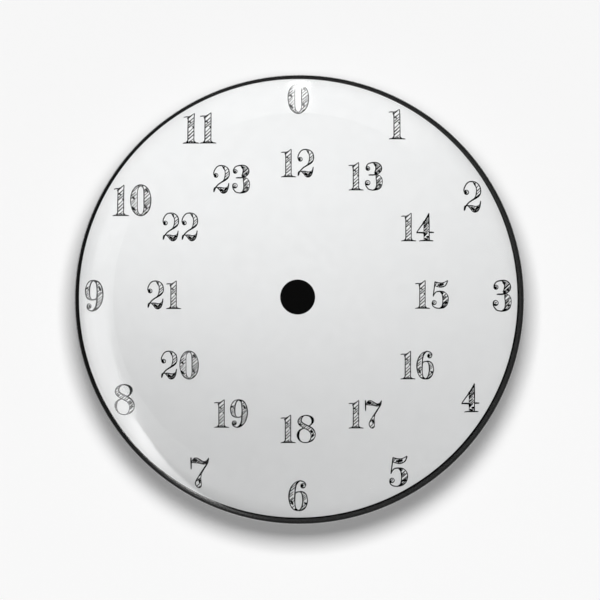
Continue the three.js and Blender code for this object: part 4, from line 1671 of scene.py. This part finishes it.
def face_outwards(piece):
    """Turns a closed mesh's faces outwards; ink, which is open, faces the camera."""
    shape = bmesh.new()
    shape.from_mesh(piece.data)
    if piece in (numbers, ring, dot):
        front = [face for face in shape.faces if face.calc_center_median().y < 0]
        wrong = sum(face.normal.y > 0 for face in front) > len(shape.faces) / 2
    else:
        wrong = shape.calc_volume(signed=True) < 0
    if wrong:
        bmesh.ops.reverse_faces(shape, faces=shape.faces)
        shape.to_mesh(piece.data)
    shape.free()
    return wrong


for piece, body, slot, node in PIECES:
    flipped = face_outwards(piece)
    if node:
        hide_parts(node)
    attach(piece, body)
    print(f"{piece.name} rides {body}" + (", turned outwards" if flipped else ""))

# %% [markdown]
# ## Ground
#
# The badge lies on its pin in front of a white ground, and its soft shadow falls there. The
# ground is even all round in the photograph, though the lamp is near, so its tone rises with
# the distance from the lamp just as the lamp's light falls. Where that tone would be past white,
# the ground glows by as much as is missing. A little more light of its own keeps the shadow as
# pale as it is. It is clear from behind, so that it hides nothing from the back.

# %% White ground
KEY_PLACE = (0.0, -0.13, 0.029)
WALL_Y = 6.1
WALL_REACH = 230
WALL_TONE = 0.7
WALL_GLOW = 0.215
WALL_LIGHT = 0.7  # what the ground's lamp adds to it, with the tone evening it out
WALL_FALLOFF = 1.9


def square(name, reach, laid):
    """A square sheet, with each corner where laid(across, along) puts it, in metres."""
    corners = [(-reach, -reach), (reach, -reach), (reach, reach), (-reach, reach)]
    return place_mesh(name, [laid(*corner) for corner in corners], faces=[(0, 1, 2, 3)])


wall_finish, tree, surface = new_finish("white_ground")
spot = add_node(tree, "ShaderNodeTexCoord").outputs["Object"]
under_key = (KEY_PLACE[0], WALL_Y * MM, KEY_PLACE[2])
away = add_node(tree, "ShaderNodeVectorMath", {0: spot, 1: under_key}, operation="DISTANCE")
share = sum_of(tree, "DIVIDE", away.outputs["Value"], WALL_Y * MM - KEY_PLACE[1])
slant = sum_of(tree, "ADD", sum_of(tree, "MULTIPLY", share, share), 1.0)
falloff = sum_of(tree, "POWER", slant, WALL_FALLOFF)
wanted = sum_of(tree, "MULTIPLY", falloff, WALL_TONE)
tone = sum_of(tree, "MINIMUM", wanted, 1.0)
missing = sum_of(tree, "SUBTRACT", 1.0, sum_of(tree, "DIVIDE", tone, wanted))
own = sum_of(tree, "ADD", sum_of(tree, "MULTIPLY", missing, WALL_LIGHT), WALL_GLOW)
pale = add_node(tree, "ShaderNodeBsdfDiffuse", {"Color": tone})
glow = add_node(tree, "ShaderNodeEmission", {"Strength": own})
lit = add_node(tree, "ShaderNodeAddShader", {0: pale.outputs[0], 1: glow.outputs[0]})
clear = add_node(tree, "ShaderNodeBsdfTransparent")
behind = add_node(tree, "ShaderNodeNewGeometry").outputs["Backfacing"]
shown = add_node(tree, "ShaderNodeMixShader", {0: behind, 1: lit.outputs[0], 2: clear.outputs[0]})
end_finish(tree, surface, shown)
wall_finish.cycles.emission_sampling = "NONE"

wall = square("ground", WALL_REACH * MM, lambda x, z: (x, WALL_Y * MM, z))
if wall.data.polygons[0].normal.y > 0:
    wall.data.flip_normals()
wall.data.materials.append(wall_finish)
wall.visible_diffuse = False
wall.visible_glossy = False
wall.visible_transmission = False
wall.visible_shadow = False
print(f"ground {WALL_Y} mm behind the rim")

# %% [markdown]
# The pale floor is just out of the photograph's frame and shows in the other views. It takes a
# shadow but sends no light up, so the badge looks the same with it or without it. The world is
# nearly as pale to the camera, dim to mirrors where no card is, and dimmer still as a light.

# %% Floor and world
FLOOR_Z = -40
FLOOR_REACH = 1.5
FLOOR_DARK = (0.78, 0.78, 0.78)
FLOOR_LIGHT = (0.82, 0.82, 0.82)
ROOM_LIGHT = (0.05, 0.05, 0.05, 1)
ROOM_GLOSS = 0.09  # what mirrors show of the room where no card is
SKY_TONE = (0.94, 0.94, 0.94, 1)

floor_finish, tree, surface = new_finish("pale_floor")
shade = blend_colour(tree, grain(tree, (30, 30, 30), detail=4.0), FLOOR_DARK, FLOOR_LIGHT)
end_finish(tree, surface, add_node(tree, "ShaderNodeBsdfDiffuse", {"Color": shade}))
floor = square("floor", FLOOR_REACH, lambda x, y: (x, y, FLOOR_Z * MM))
floor.data.materials.append(floor_finish)
floor.visible_glossy = False
floor.visible_diffuse = False
floor.visible_shadow = False

world = bpy.data.worlds.new("studio")
bpy.context.scene.world = world
world.use_nodes = True
world.node_tree.nodes.clear()
tree = world.node_tree
path = add_node(tree, "ShaderNodeLightPath").outputs
room = add_node(tree, "ShaderNodeBackground", {"Color": ROOM_LIGHT, "Strength": 1.0})
gloss = add_node(tree, "ShaderNodeBackground", {"Color": (1, 1, 1, 1), "Strength": ROOM_GLOSS})
sky = add_node(tree, "ShaderNodeBackground", {"Color": SKY_TONE, "Strength": 1.0})
first = add_node(
    tree, "ShaderNodeMixShader", {0: path["Is Glossy Ray"], 1: room.outputs[0], 2: gloss.outputs[0]}
)
second = add_node(
    tree, "ShaderNodeMixShader", {0: path["Is Camera Ray"], 1: first.outputs[0], 2: sky.outputs[0]}
)
add_node(tree, "ShaderNodeOutputWorld", {"Surface": second.outputs[0]})
print(f"floor {-FLOOR_Z} mm below the middle of the face")

# %% [markdown]
# ## Light
#
# The photograph's shadow is soft and round, 1.5 mm below the badge, while the face is lit evenly
# right over its edge roll, as by light from all round. So they are lit apart, by light linking.
# The ground has one small square lamp and the floor a wide sun. The badge has a dome of broad
# lamps, a soft spot on the upper half of its face and a weak lamp behind it. The film would
# mirror the lamps as patches that the photograph doesn't have, so glossy rays don't see them.

# %% Helpers for lamps
def lamp(name, kind, place, watts, target=(0, 0, 0)):
    """A lamp that points at the target and that no mirror shows."""
    light = bpy.data.lights.new(name, kind)
    light.energy = watts
    piece = bpy.data.objects.new(name, light)
    bpy.context.scene.collection.objects.link(piece)
    piece.location = place
    aim = Vector(target) - Vector(place)
    piece.rotation_euler = aim.to_track_quat("-Z", "Z").to_euler()
    piece.visible_camera = False
    piece.visible_glossy = False
    return piece


def light_only(name, pieces, state="INCLUDE"):
    """A set of pieces for light linking, which takes them in or leaves them out."""
    linked = bpy.data.collections.new(name)
    for piece in pieces:
        linked.objects.link(piece)
    for entry in linked.collection_objects:
        entry.light_linking.link_state = state
    return linked


# %% Lamps
KEY_WATTS = 0.1817
KEY_SIZE = 0.046
DOME_RADIUS = 0.4
DOME_LEAN = 60  # degrees from straight ahead
DOME_LAMPS = 8
DOME_WATTS = 0.246
DOME_TILT = 0.52  # how much stronger the ring is at 3 o'clock
DOME_SIZE = 0.25
UPPER_PLACE = (-0.367, -0.42, 0.179)
UPPER_TARGET = (-0.0189, 0, 0.0455)
UPPER_WATTS = 7.38
SUN_STRENGTH = 2.7
SUN_ANGLE = math.radians(50)
BACK_PLACE = (-0.08, 0.3, 0.14)
BACK_WATTS = 0.5
BACK_SIZE = 0.2

only_ground = light_only("only_ground", [wall])
only_floor = light_only("only_floor", [floor])
all_but_ground = light_only("all_but_ground", [wall, floor], "EXCLUDE")

key = lamp("ground_lamp", "AREA", KEY_PLACE, KEY_WATTS, (0, 0, KEY_PLACE[2]))
key.data.size = KEY_SIZE
key.light_linking.receiver_collection = only_ground
directions = [(0, 0)] + [(360 * k / DOME_LAMPS, DOME_LEAN) for k in range(DOME_LAMPS)]
for clock, lean in directions:
    round_, out = math.radians(clock), math.radians(lean)
    across = DOME_RADIUS * math.sin(out)
    spot = (across * math.sin(round_), -DOME_RADIUS * math.cos(out), across * math.cos(round_))
    watts = DOME_WATTS * (1 + (DOME_TILT * math.sin(round_) if lean else 0))
    soft = lamp(f"dome_{clock:.0f}_{lean}", "AREA", spot, watts)
    soft.data.size = DOME_SIZE
    soft.light_linking.receiver_collection = all_but_ground
upper = lamp("upper_face", "SPOT", UPPER_PLACE, UPPER_WATTS, UPPER_TARGET)
upper.data.spot_size = math.radians(13.22)
upper.data.spot_blend = 0.89
upper.data.shadow_soft_size = 0.008
upper.light_linking.receiver_collection = all_but_ground
sun = lamp("floor_sun", "SUN", (0, 0, 1), SUN_STRENGTH, (0, 0.1, 0))
sun.data.angle = SUN_ANGLE
sun.light_linking.receiver_collection = only_floor
back = lamp("back_fill", "AREA", BACK_PLACE, BACK_WATTS)
back.data.size = BACK_SIZE
back.light_linking.receiver_collection = all_but_ground
print(f"{len(bpy.data.lights)} lamps")

# %% [markdown]
# ### What the film mirrors
#
# The photograph shows one long highlight on the edge roll, from the lower left round to the
# left, and a small glint at the very top. They mirror something bright low on the left and a
# narrow thing overhead. Both are made as cards that only the film mirrors. Each point of the
# edge mirrors one direction, so a card is described by directions: the clock angle round the
# dial, and the angle from straight ahead. Its brightness is stored on its points.

# %% Sheets that are seen only in mirrors
def mirror_stage(piece):
    """Makes a sheet a piece of the stage that only mirrors show."""
    piece.visible_camera = False
    piece.visible_diffuse = False
    piece.visible_transmission = False
    piece.visible_shadow = False


def straight_only(tree, strength):
    """A brightness that a mirror shows to the camera but that sends no light on to matt things."""
    bounces = add_node(tree, "ShaderNodeLightPath").outputs["Diffuse Depth"]
    return sum_of(tree, "MULTIPLY", strength, sum_of(tree, "LESS_THAN", bounces, 0.5))


def mirrored_only(piece, level, seen_by):
    """Makes a sheet a clear glow that only the mirroring pieces in seen_by show."""
    finish, tree, surface = new_finish(piece.name + "_glow")
    shader = add_node(tree, "ShaderNodeEmission", {"Strength": straight_only(tree, level(tree))})
    clear = add_node(tree, "ShaderNodeBsdfTransparent")
    both = add_node(tree, "ShaderNodeAddShader", {0: shader.outputs[0], 1: clear.outputs[0]})
    end_finish(tree, surface, both)
    finish.cycles.emission_sampling = "NONE"
    piece.data.materials.append(finish)
    piece.light_linking.receiver_collection = light_only("shows_" + piece.name, seen_by)
    mirror_stage(piece)


# %% Cards for the film
CARD_EDGE = 0.027  # metres from the middle, where the roll that mirrors a card is
CARD_DISTANCE = 0.3


def card(name, columns, rows, brightness):
    """A sheet far from the edge, bright by brightness(clock angle, angle from ahead)."""
    vertices, strengths = [], []
    for clock in columns:
        for lean in rows:
            round_, out = math.radians(clock), math.radians(lean)
            radial = Vector((math.sin(round_), 0, math.cos(round_)))
            aim = radial * math.sin(out) - Vector((0, 1, 0)) * math.cos(out)
            vertices.append(tuple(radial * CARD_EDGE + aim * CARD_DISTANCE))
            strengths.append(brightness(clock, lean))
    n = len(rows)
    faces = [
        (a * n + k, (a + 1) * n + k, (a + 1) * n + k + 1, a * n + k + 1)
        for a in range(len(columns) - 1)
        for k in range(n - 1)
    ]
    piece = place_mesh(name, vertices, faces=faces)
    give_attribute(piece, "brightness", strengths)

    def stored(tree):
        return add_node(tree, "ShaderNodeAttribute", attribute_name="brightness").outputs["Fac"]

    mirrored_only(piece, stored, [film_piece])


def soft_step(value, edge, width):
    """0 before an edge and 1 after it, over a width."""
    t = min(max((value - edge) / width + 0.5, 0), 1)
    return t * t * (3 - 2 * t)


# %% [markdown]
# The window is described at some clock angles: the brightness of a faint wash beside it, where
# the window begins and over how many degrees, and its brightness 17, 60 and 88 degrees from
# straight ahead. A card between two of these angles is between their values.

# %% The window, the sky and the strip
WINDOW = [
    (198, 0.0, 92, 10, 0.0, 0.0, 0.0),
    (201, 0.2, 90, 10, 2.5, 2.5, 2.5),
    (204, 0.4, 85, 14, 4.0, 4.0, 4.6),
    (207, 0.5, 79, 16, 4.2, 4.2, 5.6),
    (212, 0.6, 63, 18, 5.6, 5.6, 5.6),
    (215, 0.6, 56, 18, 6.8, 6.8, 5.4),
    (218, 0.6, 49, 18, 8.2, 8.0, 6.6),
    (221, 0.7, 41, 16, 10.6, 10.0, 7.8),
    (224, 0.8, 34, 16, 11.4, 11.4, 8.0),
    (228, 0.9, 26, 15, 11.4, 11.8, 7.4),
    (232, 1.1, 20.5, 8, 10.6, 10.9, 6.3),
    (236, 1.2, 17.9, 1.0, 7.0, 9.6, 5.6),
    (245, 1.3, 17.4, 0.5, 4.7, 8.0, 5.2),
    (248, 1.4, 17.25, 0.5, 4.3, 7.8, 4.8),
    (252, 1.4, 17.15, 0.5, 3.6, 7.0, 4.2),
    (257, 1.4, 16.95, 0.5, 3.3, 6.8, 3.1),
    (262, 1.4, 16.8, 0.5, 2.9, 6.1, 1.8),
    (269, 1.4, 16.7, 0.5, 1.7, 3.8, 1.4),
    (276, 1.4, 16.6, 0.5, 0.0, 0.6, 0.4),
    (282, 1.4, 16.6, 0.5, 0.0, 0.0, 0.0),
    (292, 1.2, 16.6, 0.5, 0.0, 0.0, 0.0),
    (304, 0.0, 16.6, 0.5, 0.0, 0.0, 0.0),
]
WINDOW_LEANS = [12, 13, 14, 15, 15.5] + spaced(30, 16, 19) + spaced(42, 20, 104)


def window(clock, lean):
    """The window with its wash, low on the left."""
    low = max((row for row in WINDOW if row[0] <= clock), default=WINDOW[0])
    high = min((row for row in WINDOW if row[0] > clock), default=WINDOW[-1])
    t = (clock - low[0]) / max(high[0] - low[0], 1)
    wash, begin, width, near, middle, far = (a + (b - a) * t for a, b in zip(low[1:], high[1:]))
    inner = near + (middle - near) * min((lean - 17) / 43, 1)
    level = inner + (far - middle) * min(max((lean - 60) / 28, 0), 1)
    washed = wash * soft_step(lean, 15, 6) * (1 - soft_step(lean, 42, 20))
    return washed + level * soft_step(lean, begin, width) * (1 - soft_step(lean, 98, 6))


def upper_sky(clock, lean):
    """A weak broad light above."""
    sideways = soft_step(clock, -24, 20) * (1 - soft_step(clock, 40, 36))
    return (0.5 + lean / 60) * sideways * soft_step(lean, 13, 8) * (1 - soft_step(lean, 96, 10))


def overhead(clock, lean):
    """The narrow thing overhead, which gives the glint on the 0."""
    near = 8.5 * math.exp(-((clock / 2.4) ** 2)) * soft_step(lean, 16.1, 2.4)
    far = 20 * math.exp(-((clock / 1.6) ** 2)) * soft_step(lean, 48, 16)
    return (near + far) * (1 - soft_step(lean, 84, 16))


card("low_window", spaced(106, 198, 304), WINDOW_LEANS, window)
card("upper_sky", spaced(48, -36, 60), spaced(46, 8, 100), upper_sky)
card("overhead_strip", spaced(32, -8, 8), WINDOW_LEANS, overhead)
print("three cards placed")

# %% [markdown]
# ### What else is mirrored
#
# Near its widest line the roll looks past the sides and down on to the ground. The photograph's
# black ring shows what it sees there: a dim ground with two brighter places, low down and right
# under the rim. A second clear sheet just above the ground gives the film that, and leaves the
# metal out, which would mirror it from behind. The metal gets a half-round screen of its own at
# the back, as a product photographer sets one round a bright thing. Last, a round flag keeps the
# window out of the flat of the face, where it would drown the numbers from the upper right.

# %% The mirrored ground, the screen and the flag
GLOW_Y = WALL_Y - 0.05
SCREEN_RADIUS = 450
SCREEN_HEIGHT = 700
SCREEN_BRIGHT = (170, 400, -100)
FLAG_RADIUS = 23.8
FLAG_REACH = 70
DIAL_MIDDLE = (0, GLOW_Y, 0)


def strip(name, line, last_joined=False):
    """A sheet between two edges, given as pairs of points in millimetres."""
    vertices = [tuple(value * MM for value in point) for pair in line for point in pair]
    count = len(line) - (0 if last_joined else 1)
    n = len(vertices)
    faces = [(2 * k, 2 * k + 1, (2 * k + 3) % n, (2 * k + 2) % n) for k in range(count)]
    return place_mesh(name, vertices, faces=faces)


def fading(tree, place, near, far, first, last):
    """Smoothly from one level to another between two distances (mm) from a place (mm)."""
    spot = add_node(tree, "ShaderNodeTexCoord").outputs["Object"]
    centre = tuple(value * MM for value in place)
    gone = add_node(tree, "ShaderNodeVectorMath", {0: spot, 1: centre}, operation="DISTANCE")
    feeds = {"Value": gone.outputs["Value"], "From Min": near * MM, "From Max": far * MM}
    feeds.update({"To Min": first, "To Max": last})
    return add_node(tree, "ShaderNodeMapRange", feeds, interpolation_type="SMOOTHSTEP").outputs[0]


def dim_ground(tree):
    """The ground that the film mirrors: bright under the rim and low down, dim on the left."""
    under_rim = fading(tree, DIAL_MIDDLE, 29.3, 32.5, 2.2, 0.0)
    far_out = fading(tree, DIAL_MIDDLE, 36, 64, 0.05, 0.44)
    dim_left = fading(tree, (-62, GLOW_Y, 6), 24, 62, 0.0, 1.0)
    low_patch = fading(tree, (-27, GLOW_Y, -58), 0, 26, 1.3, 0.0)
    right_side = sum_of(tree, "MULTIPLY", sum_of(tree, "ADD", under_rim, far_out), dim_left)
    return sum_of(tree, "ADD", right_side, low_patch)


def screen_light(tree):
    """The screen's light, which is brightest round one low place."""
    return fading(tree, SCREEN_BRIGHT, 250, 520, 1.0, 0.42)


glow_sheet = square("ground_glow", WALL_REACH * MM, lambda x, z: (x, GLOW_Y * MM, z))
mirrored_only(glow_sheet, dim_ground, [film_piece])

metals = [shell_piece, plate_piece, bar_piece, rivet_piece, needle_piece, roller_piece]
tall = SCREEN_HEIGHT
bow = arc(0, 0, SCREEN_RADIUS, -35, 215, 50)
screen = strip("rear_screen", [((x, y, -tall), (x, y, tall)) for x, y in bow])
mirrored_only(screen, screen_light, metals)

rim = arc(0, 0, FLAG_RADIUS, 90, -270, 96)[:-1]
flag = strip("face_flag", [((x, 0, z), (x, -FLAG_REACH, z)) for x, z in rim], last_joined=True)
flag_finish, tree, surface = new_finish("flag_black")
end_finish(tree, surface, add_node(tree, "ShaderNodeEmission", {"Strength": ROOM_GLOSS}))
flag_finish.cycles.emission_sampling = "NONE"
flag.data.materials.append(flag_finish)
mirror_stage(flag)
print("mirrored ground, rear screen and flag placed")
